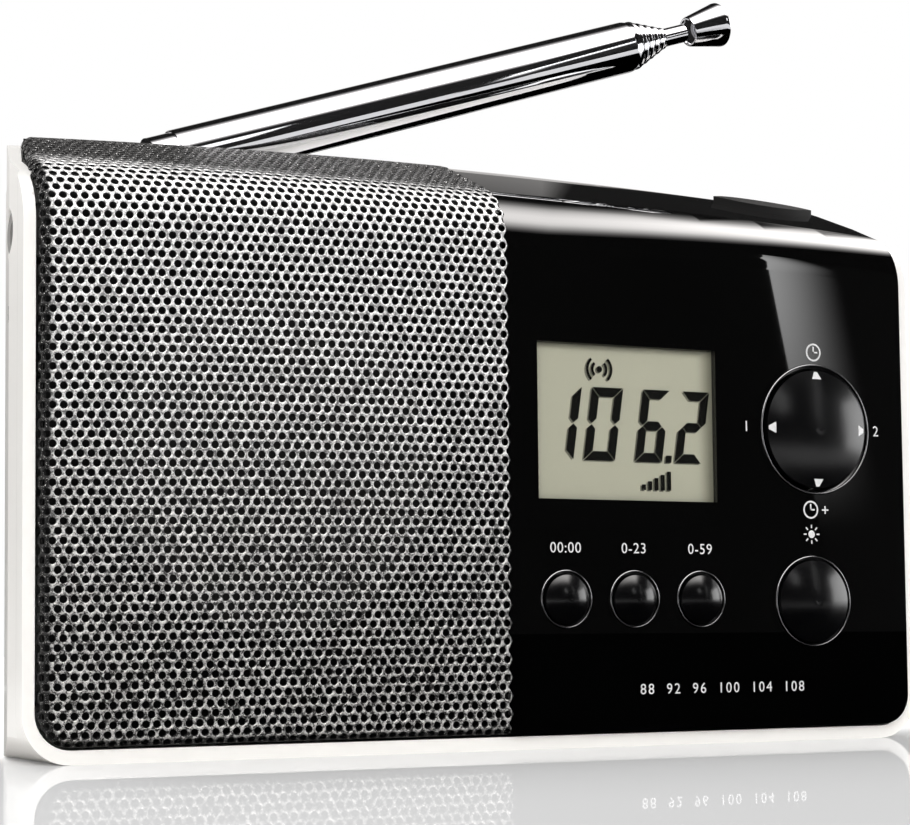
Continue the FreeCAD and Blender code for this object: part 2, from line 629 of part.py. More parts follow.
def pad_body():
    """The four-way pad: a dome, a cup round the gimbal and four fingers over the switches."""
    edge = PANEL_FRONT + " - key_edge"
    floor = PANEL_BACK + " - pad_cup_rise"
    cup_end = PAD_PIVOT + " + gimbal_thick"
    flange = PANEL_BACK + " + key_flange_thick"
    flange_back = flange + " + key_flange_thick"
    wide = "pad_radius + key_flange"
    cup = "pad_cup_radius + pad_cup_wall"
    points = [("0", edge + " - pad_dome"), ("pad_radius", edge), ("pad_radius", flange), (wide, flange),
              (wide, flange_back), (cup, flange_back), (cup, cup_end), ("pad_cup_radius", cup_end),
              ("pad_cup_radius", floor), ("0", floor)]
    dome = "(pad_radius ^ 2 + pad_dome ^ 2) / (2 * pad_dome)"
    body = new_body("pad_turned")
    spin(body, draw(body, "XY", points, bulge=(0, dome)))
    place(body, (PAD_X, "0", "pad_z"))
    fingers = []
    length = "%s - key_travel - key_gap - (%s)" % (SWITCH_FRONT, flange)
    for index, (x, z) in enumerate(pad_switch_spots()):
        fingers.append(cylinder("pad_finger_%d" % index, "y", (x, flange, z), "plunger_radius", length))
    solid = fuse("pad_solid", [body] + fingers)
    holes = cylinder("pad_pin_holes", "z", (PAD_X, PAD_PIVOT, "pad_z - pad_radius"),
                     "gimbal_pin_radius + running_gap", "pad_radius * 2")
    keep(cut("pad_cut", solid, [holes]), "dpad_cap")


PAD_PIVOT = "(%s + pad_pivot_depth)" % FRONT


def pad_switch_spots():
    return ((PAD_X + " - pad_finger_offset", "pad_z"), (PAD_X + " + pad_finger_offset", "pad_z"),
            (PAD_X, "pad_z - pad_finger_offset"), (PAD_X, "pad_z + pad_finger_offset"))


def pad_gimbal():
    """The ring between post and pad, with a pair of pins each way."""
    front = PAD_PIVOT + " - gimbal_thick / 2"
    outer = cylinder("gimbal_disc", "y", (PAD_X, front, "pad_z"), "gimbal_outer", "gimbal_thick")
    room = cylinder("gimbal_room", "y", (PAD_X, "-reach", "pad_z"), "gimbal_inner", "reach")
    inner_end = "(gimbal_inner + gimbal_pin_root)"
    inner_length = "%s - pad_post_radius / 2" % inner_end
    outer_end = "(pad_cup_radius + gimbal_pin_seat)"
    outer_length = "%s - gimbal_outer + gimbal_pin_root" % outer_end
    pins = [cylinder("gimbal_pin_left", "x", ("%s - %s" % (PAD_X, inner_end), PAD_PIVOT, "pad_z"),
                     "gimbal_pin_radius", inner_length),
            cylinder("gimbal_pin_right", "x", (PAD_X + " + pad_post_radius / 2", PAD_PIVOT, "pad_z"),
                     "gimbal_pin_radius", inner_length),
            cylinder("gimbal_pin_low", "z", (PAD_X, PAD_PIVOT, "pad_z - " + outer_end),
                     "gimbal_pin_radius", outer_length),
            cylinder("gimbal_pin_high", "z", (PAD_X, PAD_PIVOT, "pad_z + gimbal_outer - gimbal_pin_root"),
                     "gimbal_pin_radius", outer_length)]
    keep(fuse("gimbal", [cut("gimbal_ring", outer, [room])] + pins), "dpad_gimbal")
    length = "%s - %s + gimbal_thick" % (BOARD_FRONT, PAD_PIVOT)
    post = cylinder("post_bar", "y", (PAD_X, PAD_PIVOT + " - gimbal_thick", "pad_z"),
                    "pad_post_radius", length)
    way = cylinder("post_way", "x", ("-reach", PAD_PIVOT, "pad_z"),
                   "gimbal_pin_radius + running_gap", "reach * 2")
    keep(cut("post", post, [way]), "dpad_post")


# ---- circuit board ----------------------------------------------------------------------------

BOARD_LEFT = "(%s - board_margin)" % WINDOW_LEFT
STANDOFF_LEFT = "(%s + standoff_inset)" % BOARD_LEFT
STANDOFF_RIGHT = "(%s - standoff_gap)" % PAD_X
STANDOFF_TOP = "(%s - standoff_drop)" % CROWN


def standoffs():
    return ((STANDOFF_LEFT, "standoff_base"), (STANDOFF_RIGHT, "standoff_base"),
            (STANDOFF_LEFT, STANDOFF_TOP), (STANDOFF_RIGHT, STANDOFF_TOP))


def main_board():
    right = OPENING + " - waist - board_edge_gap"
    plate = box("board_plate", (BOARD_LEFT, BOARD_FRONT, "board_base"),
                (right, BOARD_BACK, CROWN + " - board_drop"))
    holes = []
    for index, (x, z) in enumerate(standoffs()):
        holes.append(cylinder("board_hole_%d" % index, "y", (x, "-reach", z),
                              "screw_radius + running_gap * 2", "reach"))
    room = "(boss_radius + panel_gap)"
    for index, z in enumerate(("boss_base", BOSS_TOP)):
        holes.append(box("board_notch_%d" % index,
                         ("%s - %s" % (BOSS_X, room), "-reach", "%s - %s" % (z, room)),
                         ("reach", "reach", "%s + %s" % (z, room))))
    keep(cut("board", plate, holes), "main_board")


def board_parts():
    """Switches, screening can, chip and capacitors on the board's front, set clear of the pad."""
    switches = []
    spots = [(x, z) for name, x, z, radius, gap in ring_spots() if name != "dpad"]
    for index, (x, z) in enumerate(spots + list(pad_switch_spots())):
        half = "switch_width / 2"
        front = BOARD_FRONT + " - switch_thick"
        body = box("switch_body_%d" % index, ("%s - %s" % (x, half), front, "%s - %s" % (z, half)),
                   ("%s + %s" % (x, half), BOARD_FRONT, "%s + %s" % (z, half)))
        plunger = cylinder("switch_plunger_%d" % index, "y", (x, SWITCH_FRONT, z), "plunger_radius",
                           "plunger_length + switch_thick / 2")
        switches.append(fuse("switch_%d" % index, [body, plunger]))
    keep(group("switches", switches), "key_switches")
    can_left = STANDOFF_RIGHT + " + can_gap"
    can_base = STANDOFF_TOP + " - can_drop"
    keep(box("can", (can_left, BOARD_FRONT + " - can_depth", can_base),
             (can_left + " + can_width", BOARD_FRONT, can_base + " + can_height")), "tuner_can")
    chip_left = STANDOFF_LEFT + " + chip_gap"
    chip_base = STANDOFF_TOP + " - chip_drop"
    keep(box("chip", (chip_left, BOARD_BACK, chip_base),
             (chip_left + " + chip_side", BOARD_BACK + " + chip_thick", chip_base + " + chip_side")),
         "radio_chip")
    first = chip_left + " + chip_side + capacitor_gap + capacitor_radius"
    cans = [cylinder("capacitor_%d" % index, "y",
                     ("%s + capacitor_pitch * %d" % (first, index), BOARD_BACK,
                      STANDOFF_TOP + " - capacitor_drop"), "capacitor_radius", "capacitor_length")
            for index in range(2)]
    keep(group("capacitors_pair", cans), "capacitors")


def screw(name, x, z, seat, length):
    """A pan-head screw that points to the front."""
    head = cylinder(name + "_head", "y", (x, seat, z), "screw_head_radius", "screw_head")
    shank = cylinder(name + "_shank", "y", (x, "%s - (%s)" % (seat, length), z), "screw_radius",
                     "(%s) + screw_head / 2" % length)
    return fuse(name, [head, shank])


def screws():
    reach = "(%s - %s + screw_length - panel_thick)" % (SCREW_SEAT, BOSS_MEET)
    keep(group("case_screw_set", [screw("case_screw_%d" % index, x, z, SCREW_SEAT, reach)
                                  for index, (x, z) in enumerate(boss_spots())]), "case_screws")
    keep(group("board_screw_set", [screw("board_screw_%d" % index, x, z, BOARD_BACK,
                                         "board_thick + panel_thick")
                                   for index, (x, z) in enumerate(standoffs())]), "board_screws")
    seat = PANEL_BACK + " + speaker_flange"
    reach = "speaker_flange + panel_thick / 4"
    keep(group("speaker_screw_set", [screw("speaker_screw_%d" % index, x, z, seat, reach)
                                     for index, (x, z) in enumerate(speaker_screw_spots())]),
         "speaker_screws")


# ---- speaker ----------------------------------------------------------------------------------

SPEAKER_X = "(%s - grille_width / 2)" % SEAM
CONE = "(speaker_radius - cone_margin)"


def speaker_screw_spots():
    """Three screws round the speaker's flange, the first one straight below."""
    spots = []
    out = "(speaker_radius + speaker_screw_gap)"
    for turn in (270, 30, 150):
        spots.append(("%s + %s * cos(%d)" % (SPEAKER_X, out, turn),
                      "speaker_z + %s * sin(%d)" % (out, turn)))
    return spots


def speaker():
    back = PANEL_BACK + " + speaker_flange"
    basket_end = back + " + basket_depth"
    wall = "basket_wall"
    points = [(CONE + " + running_gap", PANEL_BACK), ("speaker_radius", PANEL_BACK),
              ("speaker_radius", back), (CONE + " + cone_fold", back),
              ("magnet_radius", basket_end), ("dust_cap_radius", basket_end),
              ("dust_cap_radius", basket_end + " - " + wall),
              ("magnet_radius - " + wall, basket_end + " - " + wall),
              (CONE + " + running_gap", back + " - " + wall)]
    basket = turned("basket", "XY", points)
    place(basket, (SPEAKER_X, "0", "speaker_z"))
    keep(basket, "speaker_basket")
    start = PANEL_BACK + " - cone_proud"
    rim = start + " + " + wall
    deep = back + " + basket_depth / 2"
    paper = [("0", deep + " - dust_cap_rise"), ("dust_cap_radius", deep + " - " + wall),
             (CONE + " - cone_fold * 1.2", start), (CONE, start), (CONE, rim),
             (CONE + " - cone_fold", rim), ("dust_cap_radius - cone_fold", deep + " + " + wall),
             ("0", deep)]
    diaphragm = turned("paper", "XY", paper, bulge=(0, "dust_cap_radius * 2"))
    place(diaphragm, (SPEAKER_X, "0", "speaker_z"))
    keep(diaphragm, "speaker_cone")
    keep(cylinder("magnet", "y", (SPEAKER_X, basket_end, "speaker_z"), "magnet_radius",
                  "magnet_depth"), "speaker_magnet")


# ---- headphone socket -------------------------------------------------------------------------

SOCKET_Y = "(%s + socket_depth)" % FRONT
SOCKET_Z = "(%s - socket_drop)" % CROWN
SOCKET_FACE = "(-%s + waist + socket_recess)" % HALF
SOCKET_REAR = "(socket_depth + socket_side / 2 - side_straight)"
SOCKET_SLANT = "(side_taper * %s / (%s - side_straight))" % (SOCKET_REAR, DEPTH)
SOCKET_SHOULDER = "(-%s + waist + %s + running_gap * 2)" % (OPENING, SOCKET_SLANT)


def headphone_socket():
    half = "socket_side / 2"
    body = box("socket_block",
               (SOCKET_SHOULDER, "%s - %s" % (SOCKET_Y, half), "%s - %s" % (SOCKET_Z, half)),
               (SOCKET_SHOULDER + " + socket_body", "%s + %s" % (SOCKET_Y, half),
                "%s + %s" % (SOCKET_Z, half)))
    collar = cylinder("socket_collar_bar", "x", (SOCKET_FACE, SOCKET_Y, SOCKET_Z), "socket_collar",
                      "%s - %s + joint_lap" % (SOCKET_SHOULDER, SOCKET_FACE))
    bore = cylinder("socket_bore_bar", "x", (SOCKET_FACE + " - wall", SOCKET_Y, SOCKET_Z),
                    "socket_bore", "socket_bore_length + wall")
    keep(cut("socket", fuse("socket_solid", [body, collar]), [bore]), "headphone_socket")


# ---- batteries --------------------------------------------------------------------------------

CELL_Y = "(%s - cell_back_gap - cell_radius)" % BACK_INNER
HOLDER_BACK = "(%s - holder_back_gap)" % BACK_INNER
ROOM_LEFT = "(%s + holder_wall)" % HOLDER_LEFT
ROOM_RIGHT = "(%s + %s - holder_wall)" % (HOLDER_LEFT, HOLDER_LENGTH)
LOWER_ROW = "(%s + holder_wall + %s / 2)" % (HOLDER_BASE, CELL_SIDE)
UPPER_ROW = "(%s + %s + holder_rib)" % (LOWER_ROW, CELL_SIDE)
CELL_ROWS = (LOWER_ROW, UPPER_ROW)


def battery_holder():
    front = CELL_Y + " - cell_radius - cell_gap"
    block = box("holder_block", (HOLDER_LEFT, front + " - holder_wall", HOLDER_BASE),
                ("%s + %s" % (HOLDER_LEFT, HOLDER_LENGTH), HOLDER_BACK, HOLDER_TOP))
    rooms = [box("holder_room_%d" % row, (ROOM_LEFT, front, z + " - %s / 2" % CELL_SIDE),
                 (ROOM_RIGHT, "reach", z + " + %s / 2" % CELL_SIDE))
             for row, z in enumerate(CELL_ROWS)]
    keep(cut("holder", block, rooms), "battery_holder")


def battery(label, start, cap_start, z):
    """A round cell with its cap at one end."""
    can = cylinder(label + "_can", "x", (start, CELL_Y, z), "cell_radius", "cell_length")
    cap = cylinder(label + "_cap", "x", (cap_start, CELL_Y, z), "cell_nub_radius", "cell_nub + joint_lap")
    keep(fuse(label + "_cell", [can, cap]), label)


def batteries():
    """Two cells, the upper one's cap to the right and the lower one's to the left."""
    upper_end = ROOM_RIGHT + " - contact_thick - cell_nub"
    battery("battery_upper", upper_end + " - cell_length", upper_end + " - joint_lap", UPPER_ROW)
    lower_cap = ROOM_LEFT + " + contact_thick"
    battery("battery_lower", lower_cap + " + cell_nub", lower_cap, LOWER_ROW)


def battery_contacts():
    plates = []
    for side, start in (("left", ROOM_LEFT), ("right", ROOM_RIGHT + " - contact_thick")):
        for row, z in enumerate(CELL_ROWS):
            half = "contact_size / 2"
            plates.append(box("contact_%s_%d" % (side, row), (start, "%s - %s" % (CELL_Y, half),
                                                              "%s - %s" % (z, half)),
                              (start + " + contact_thick", "%s + %s" % (CELL_Y, half),
                               "%s + %s" % (z, half))))
    keep(group("contacts", plates), "battery_contacts")


def battery_springs():
    """A short coil pressed flat at each cell's flat end: closed turns joined by a bar."""
    pitch = "(spring_room - spring_wire * 2) / (spring_turns - 1)"
    left = ROOM_LEFT + " + contact_thick + spring_wire"
    right = ROOM_RIGHT + " - contact_thick - spring_room + spring_wire"
    springs = []
    for name, start, z in (("upper", left, UPPER_ROW), ("lower", right, LOWER_ROW)):
        turns = []
        for turn in range(int(number("spring_turns"))):
            ring = doc.addObject("Part::Torus", "spring_%s_turn_%d" % (name, turn))
            drive(ring, "Radius1", "spring_radius")
            drive(ring, "Radius2", "spring_wire")
            place(ring, ("%s + %s * %d" % (start, pitch, turn), CELL_Y, z), AXES["x"])
            turns.append(ring)
        bar = cylinder("spring_%s_bar" % name, "x", (start, CELL_Y + " + spring_radius", z),
                       "spring_link", "spring_room - spring_wire * 2")
        springs.append(fuse("spring_" + name, turns + [bar]))
    keep(group("springs", springs), "battery_springs")


# ---- volume wheel -----------------------------------------------------------------------------

WHEEL_FRONT = "(%s + wheel_depth)" % FRONT
WHEEL_X = "(%s - wheel_end)" % HALF


def wheel_slot():
    """The slot in the right end that the wheel shows through."""
    half = "(wheel_radius - wheel_gap)"
    return box("wheel_slot", (WHEEL_X, WHEEL_FRONT + " - wheel_gap", "%s - %s" % (WHEEL_Z, half)),
               ("reach", WHEEL_FRONT + " + wheel_thick + wheel_gap", "%s + %s" % (WHEEL_Z, half)))


def volume_control():
    """The notched wheel, its shaft and the round control behind it on the board."""
    wheel = new_body("wheel_turned")
    rim = "wheel_radius - wheel_gap / 2"
    points = [("shaft_radius", "0"), (rim, "0"), ("wheel_radius", "wheel_gap / 2"),
              ("wheel_radius", "wheel_thick - wheel_gap / 2"), (rim, "wheel_thick"),
              ("shaft_radius", "wheel_thick")]
    spin(wheel, draw(wheel, "XY", points))
    notch = wheel.newObject("PartDesign::SubtractiveCylinder", "wheel_notch")
    drive(notch, "Radius", "notch_radius")
    drive(notch, "Height", "wheel_thick * 2")
    notch.Placement = Placement(Vector(number("wheel_radius"), -number("wheel_thick") / 2, 0), AXES["y"])
    drive(notch, "Placement.Base.x", "wheel_radius")
    drive(notch, "Placement.Base.y", "-wheel_thick / 2")
    doc.recompute()
    ring = wheel.newObject("PartDesign::PolarPattern", "wheel_notches_ring")
    ring.Originals = [notch]
    axis = [item for item in wheel.Origin.OriginFeatures if item.Role == "Y_Axis"]
    ring.Axis = (axis[0], [""])
    ring.Angle = 360
    drive(ring, "Occurrences", "wheel_notches")
    wheel.Tip = ring
    doc.recompute()
    place(wheel, (WHEEL_X, WHEEL_FRONT, WHEEL_Z))
    keep(wheel, "volume_wheel")
    pot_back = WHEEL_FRONT + " - wheel_gap"
    shaft_end = WHEEL_FRONT + " + wheel_thick + wheel_gap"
    keep(cylinder("shaft", "y", (WHEEL_X, shaft_end + " - shaft_length", WHEEL_Z), "shaft_radius",
                  "shaft_length"), "volume_shaft")
    half = "pot_width / 2"
    pot = box("pot_block", ("%s - %s" % (WHEEL_X, half), BOARD_BACK, "%s - %s" % (WHEEL_Z, half)),
              ("%s + %s" % (WHEEL_X, half), pot_back, "%s + %s" % (WHEEL_Z, half)))
    way = cylinder("pot_way", "y", (WHEEL_X, shaft_end + " - shaft_length - running_gap", WHEEL_Z),
                   "shaft_radius + running_gap", "reach")
    keep(cut("pot", pot, [way]), "volume_control")


# ---- top rocker -------------------------------------------------------------------------------

ROCKER_X = "(%s - rocker_end)" % HALF
ROCKER_Y = "(%s + rocker_depth)" % FRONT
ROCKER_PIN_Z = "(%s - rocker_pin_drop)" % CROWN
ROCKER_BOARD_Z = "(%s - rocker_board_gap)" % ROCKER_PIN_Z


def lens_form(name, gap):
    """The rocker's outline from above: two long arcs that meet at its ends."""
    half = "(rocker_half + %s)" % gap
    bulge = "(rocker_bulge + %s)" % gap
    radius = "(%s ^ 2 + %s ^ 2) / (2 * %s)" % (half, bulge, bulge)
    body = new_body(name)
    sketch = body.newObject("Sketcher::SketchObject", name + "_sketch")
    plane = [item for item in body.Origin.OriginFeatures if item.Role == "XY_Plane"]
    sketch.AttachmentSupport = [(plane[0], "")]
    sketch.MapMode = "FlatFace"
    left = Vector(number("%s - %s" % (ROCKER_X, half)), number(ROCKER_Y), 0)
    right = Vector(number("%s + %s" % (ROCKER_X, half)), number(ROCKER_Y), 0)
    sketch.addGeometry(arc_between(left, right, number(radius)), False)
    sketch.addGeometry(arc_between(right, left, number(radius)), False)
    sketch.addConstraint(Sketcher.Constraint("Coincident", 0, 2, 1, 1))
    sketch.addConstraint(Sketcher.Constraint("Coincident", 1, 2, 0, 1))
    fix_point(sketch, 0, 1, "%s - %s" % (ROCKER_X, half), ROCKER_Y)
    fix_point(sketch, 0, 2, "%s + %s" % (ROCKER_X, half), ROCKER_Y)
    for arc in (0, 1):
        size = sketch.addConstraint(Sketcher.Constraint("Radius", arc, number(radius)))
        drive(sketch, "Constraints[%d]" % size, radius)
    pad(body, sketch, "reach * 2")
    return body


def rocker_hole():
    above = box("rocker_hole_block", ("0", "-reach", ROCKER_PIN_Z + " - wall"), ("reach", "reach", "reach"))
    return common("rocker_hole", [lens_form("rocker_hole_lens", "rocker_gap"), above])


def rocker_lug_box(name, y, base):
    half = "rocker_hub / 2"
    return box(name, ("%s - %s" % (ROCKER_X, half), y, base),
               ("%s + %s" % (ROCKER_X, half), y + " + rocker_lug",
                ROCKER_PIN_Z + " + rocker_pin_radius + rocker_lug_rim"))


def rocker_lugs():
    """Two lugs under the panel that hold the rocker's pin and its small board."""
    near = "(%s - rocker_bulge - rocker_gap * 2 - rocker_lug)" % ROCKER_Y
    far = "(%s + rocker_bulge + rocker_gap * 2)" % ROCKER_Y
    lugs = [rocker_lug_box("rocker_lug_near", near, ROCKER_BOARD_Z),
            rocker_lug_box("rocker_lug_far", far, ROCKER_BOARD_Z)]
    top = CROWN + " - panel_inset - panel_thick / 2"
    lugs.append(box("rocker_lug_far_neck", (ROCKER_X + " - rocker_hub / 2", far, ROCKER_PIN_Z),
                    (ROCKER_X + " + rocker_hub / 2", far + " + rocker_lug", top + " - rocker_gap")))
    return lugs


def top_rocker():
    lens = lens_form("rocker_lens", "0")
    cap = cut("rocker_cap", common("rocker_block", [profile_form("rocker_skin", "-rocker_proud"), lens]),
              [profile_form("rocker_under", "rocker_thick - rocker_proud")])
    half = "rocker_hub / 2"
    hub = box("rocker_hub_block", ("%s - %s" % (ROCKER_X, half), ROCKER_Y + " - rocker_bulge + rocker_gap",
                                   ROCKER_PIN_Z + " - rocker_pin_radius * 2"),
              ("%s + %s" % (ROCKER_X, half), ROCKER_Y + " + rocker_bulge - rocker_gap",
               CROWN + " - rocker_thick"))
    way = cylinder("rocker_bore", "y", (ROCKER_X, "-reach", ROCKER_PIN_Z),
                   "rocker_pin_radius + running_gap", "reach * 2")
    keep(cut("rocker", fuse("rocker_solid", [cap, hub]), [way]), "tuning_rocker")
    reach = "(rocker_bulge + rocker_gap * 2 + rocker_lug)"
    keep(cylinder("rocker_bar", "y", (ROCKER_X, "%s - %s" % (ROCKER_Y, reach), ROCKER_PIN_Z),
                  "rocker_pin_radius", reach + " * 2"), "rocker_pin")
    half = "rocker_half - rocker_gap"
    keep(box("rocker_plate", ("%s - (%s)" % (ROCKER_X, half), "%s - %s" % (ROCKER_Y, reach),
                              ROCKER_BOARD_Z + " - rocker_board_thick"),
             ("%s + %s" % (ROCKER_X, half), "%s + %s" % (ROCKER_Y, reach), ROCKER_BOARD_Z)),
         "rocker_board")


# ---- medium wave aerial -----------------------------------------------------------------------

ROD_LEFT = "(%s - rod_end - rod_length)" % HALF
ROD_Y = "(%s - rod_back)" % BACK
CLIP_LEFT = "(%s + screw_head_radius + clip_gap)" % STANDOFF_LEFT
CLIP_RIGHT = "(%s + screw_head_radius + clip_gap)" % STANDOFF_RIGHT


def ferrite_aerial():
    """The ferrite rod with its coil, held by two clips on the board."""
    keep(cylinder("ferrite", "x", (ROD_LEFT, ROD_Y, ROD_Z), "rod_radius", "rod_length"), "ferrite_rod")
    start = (CLIP_LEFT + " + clip_width + coil_space", ROD_Y, ROD_Z)
    sleeve = cylinder("coil_sleeve", "x", start, "rod_radius + coil_gap + coil_thick", "coil_length")
    room = cylinder("coil_room", "x", ("-reach", ROD_Y, ROD_Z), "rod_radius + coil_gap", "reach * 2")
    keep(cut("coil", sleeve, [room]), "aerial_coil")
    clips = []
    grip = "(rod_radius + clip_wall)"
    for index, x in enumerate((CLIP_LEFT, CLIP_RIGHT)):
        block = box("clip_block_%d" % index, (x, BOARD_BACK, "%s - %s" % (ROD_Z, grip)),
                    (x + " + clip_width", ROD_Y + " + rod_radius / 2", "%s + %s" % (ROD_Z, grip)))
        way = cylinder("clip_way_%d" % index, "x", ("-reach", ROD_Y, ROD_Z),
                       "rod_radius + running_gap / 2", "reach * 2")
        clips.append(cut("clip_%d" % index, block, [way]))
    keep(group("clips", clips), "aerial_clips")


# ---- telescopic antenna -----------------------------------------------------------------------

PIVOT = ("(pivot_end - %s)" % HALF, "(%s - pivot_back)" % BACK, "(%s + pivot_rise)" % SHELF)


def along_antenna(item):
    """Turns a piece that is made along +X from the hinge to the antenna's angle at rest."""
    item.Placement = Placement(Vector(), Rotation(Vector(0, -1, 0), number("antenna_rest")))
    drive(item, "Placement.Rotation.Angle", "antenna_rest")
    for axis, text in zip("xyz", PIVOT):
        drive(item, "Placement.Base." + axis, text)
    return item


def tube_radius(index):
    return "(tube_radius - (tube_wall + tube_gap) * %d)" % index


def antenna_tubes():
    """Nested tubes; each reaches a little further out than the one round it."""
    for index in range(TUBES):
        start = "(tube_start + tube_inset * %d)" % index
        end = "(tube_start + tube_length + tube_step * %d)" % index
        outer = tube_radius(index)
        inner = "(%s - tube_wall)" % outer
        points = [(start, inner), (start, outer), (end + " - tube_chamfer * 2", outer),
                  (end, outer + " - tube_chamfer / 2"), (end, inner)]
        tube = turned("tube_body_%d" % (index + 1), "XY", points, axis="H_Axis")
        keep(along_antenna(tube), "antenna_tube_%d" % (index + 1))


TIP_START = "(tube_start + tube_length + tube_step * %d + rod_showing)" % (TUBES - 1)


def antenna_rod():
    """The innermost solid rod and its flared tip."""
    radius = tube_radius(TUBES)
    start = "(tube_start + tube_inset * %d)" % TUBES
    rod = turned("rod_body", "XY", [(start, "0"), (start, radius), (TIP_START, radius), (TIP_START, "0")],
                 axis="H_Axis")
    keep(along_antenna(rod), "antenna_rod")
    end = TIP_START + " + tip_length"
    groove = TIP_START + " + tip_neck_length"
    groove_end = groove + " + tip_groove_width"
    band = end + " - tip_band"
    points = [(TIP_START, "0"), (TIP_START, "tip_neck"), (groove, "tip_neck"), (groove, "tip_groove"),
              (groove_end, "tip_groove"), (groove_end, "tip_neck"), (band, "tip_radius"),
              (end + " - tip_edge", "tip_radius"), (end, "tip_radius - tip_edge"), (end, "0")]
    tip = turned("tip_body", "XY", points, axis="H_Axis")
    keep(along_antenna(tip), "antenna_tip")


def antenna_lug():
    """The flat eye on the hinge pin and the round collar that carries the outer tube."""
    side = "lug_thick / 2"
    eye = cylinder("lug_eye", "y", ("0", "-" + side, "0"), "lug_radius", "lug_thick")
    arm = box("lug_arm_block", ("0", "-" + side, "-lug_arm"),
              ("collar_start + joint_lap", side, "lug_arm"))
    collar = cylinder("lug_collar", "x", ("collar_start", "0", "0"), "collar_radius",
                      "tube_start - collar_start")
    plug = cylinder("lug_plug", "x", ("collar_start", "0", "0"), "tube_radius - tube_wall",
                    "tube_start - collar_start + joint_lap")
    bore = cylinder("lug_bore", "y", ("0", "-lug_thick", "0"), "hinge_pin_radius + running_gap",
                    "lug_thick * 2")
    keep(along_antenna(cut("lug", fuse("lug_solid", [eye, arm, collar, plug]), [bore])), "antenna_lug")


def antenna_turret():
    """The turret that turns in the shelf, its two ears, the hinge pin, the washer and the screw."""
    x, y, z = PIVOT
    half = "(lug_thick / 2 + ear_gap)"
    floor = "(%s + running_gap)" % SHELF
    base = cylinder("turret_disc", "z", (x, y, floor), "turret_radius", "turret_flange")
    stub = cylinder("turret_stub_bar", "z", (x, y, SHELF + " - turret_drop"),
                    "turret_stub", "turret_drop + turret_flange / 2")
    ears = []
    for index, side in enumerate(("(%s - %s - ear_thick)" % (y, half), "(%s + %s)" % (y, half))):
        disc = cylinder("ear_disc_%d" % index, "y", (x, side, z), "ear_radius", "ear_thick")
        root = box("ear_root_%d" % index, (x + " - ear_half", side, floor + " + turret_flange / 2"),
                   (x + " + ear_half", side + " + ear_thick", z))
        ears += [disc, root]
    way = cylinder("ear_way", "y", (x, "-reach", z), "hinge_pin_radius + pilot_gap", "reach * 2")
    keep(cut("turret", fuse("turret_solid", [base, stub] + ears), [way]), "antenna_turret")
    reach = "(%s + ear_thick)" % half
    keep(cylinder("hinge_bar", "y", (x, "%s - %s" % (y, reach), z), "hinge_pin_radius",
                  reach + " * 2"), "antenna_pin")
    under = "(%s - turret_drop - turret_washer)" % SHELF
    washer = cylinder("washer_disc", "z", (x, y, under), "turret_stub + washer_lip",
                      "turret_washer")
    screw_way = cylinder("washer_way", "z", (x, y, "0"),
                         "screw_radius + pilot_gap", "reach")
    keep(cut("washer", washer, [screw_way]), "antenna_washer")
    keep(cylinder("antenna_bolt", "z", (x, y, under + " - screw_head"),
                  "screw_head_radius", "screw_head"), "antenna_screw")


# ---- build ------------------------------------------------------------------------------------

def build():
    outer = case_outer()
    hollow = case_hollow(outer)
    rear_shell(outer, hollow)
    edges = panel_edges("panel", "0")
    front_fascia(edges)
    speaker_grille(edges)
    display()
    button_rings()
    for name, x, z, radius, gap in ring_spots()[:-1]:
        button(name, x, z, radius)
    pad_body()
    pad_gimbal()
    main_board()
    board_parts()
    screws()
    speaker()
    headphone_socket()
    battery_holder()
    batteries()
    battery_contacts()
    battery_springs()
    battery_door(hollow)
    volume_control()
    top_rocker()
    ferrite_aerial()
    antenna_turret()
    antenna_lug()
    antenna_tubes()
    antenna_rod()
    doc.recompute()


def check():
    """Stop if any feature failed or any sub-part is empty or not valid."""
    for item in doc.Objects:
        if "Invalid" in item.State or "Error" in item.State:
            raise RuntimeError("%s failed: %s" % (item.Name, item.State))
    for item in nodes:
        if item.Shape.isNull() or not item.Shape.isValid():
            raise RuntimeError("%s has no valid shape" % item.Label)


def write():
    os.makedirs("parts", exist_ok=True)
    for item in nodes:
        item.Shape.exportStep("parts/%s.step" % item.Label)
        print("%-18s %2d solids %10.1f mm3" % (item.Label, len(item.Shape.Solids), item.Shape.Volume))


build()
check()
write()
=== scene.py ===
"""A pocket radio with a perforated speaker grille: its finishes, printed marks and small trim.

The loaded model gives every place and size. Lengths below are in millimetres, as on a drawing,
and MM turns them into the scene's metres.
"""

import json
import math

import bmesh
import bpy
import numpy as np
from mathutils import Matrix, Vector

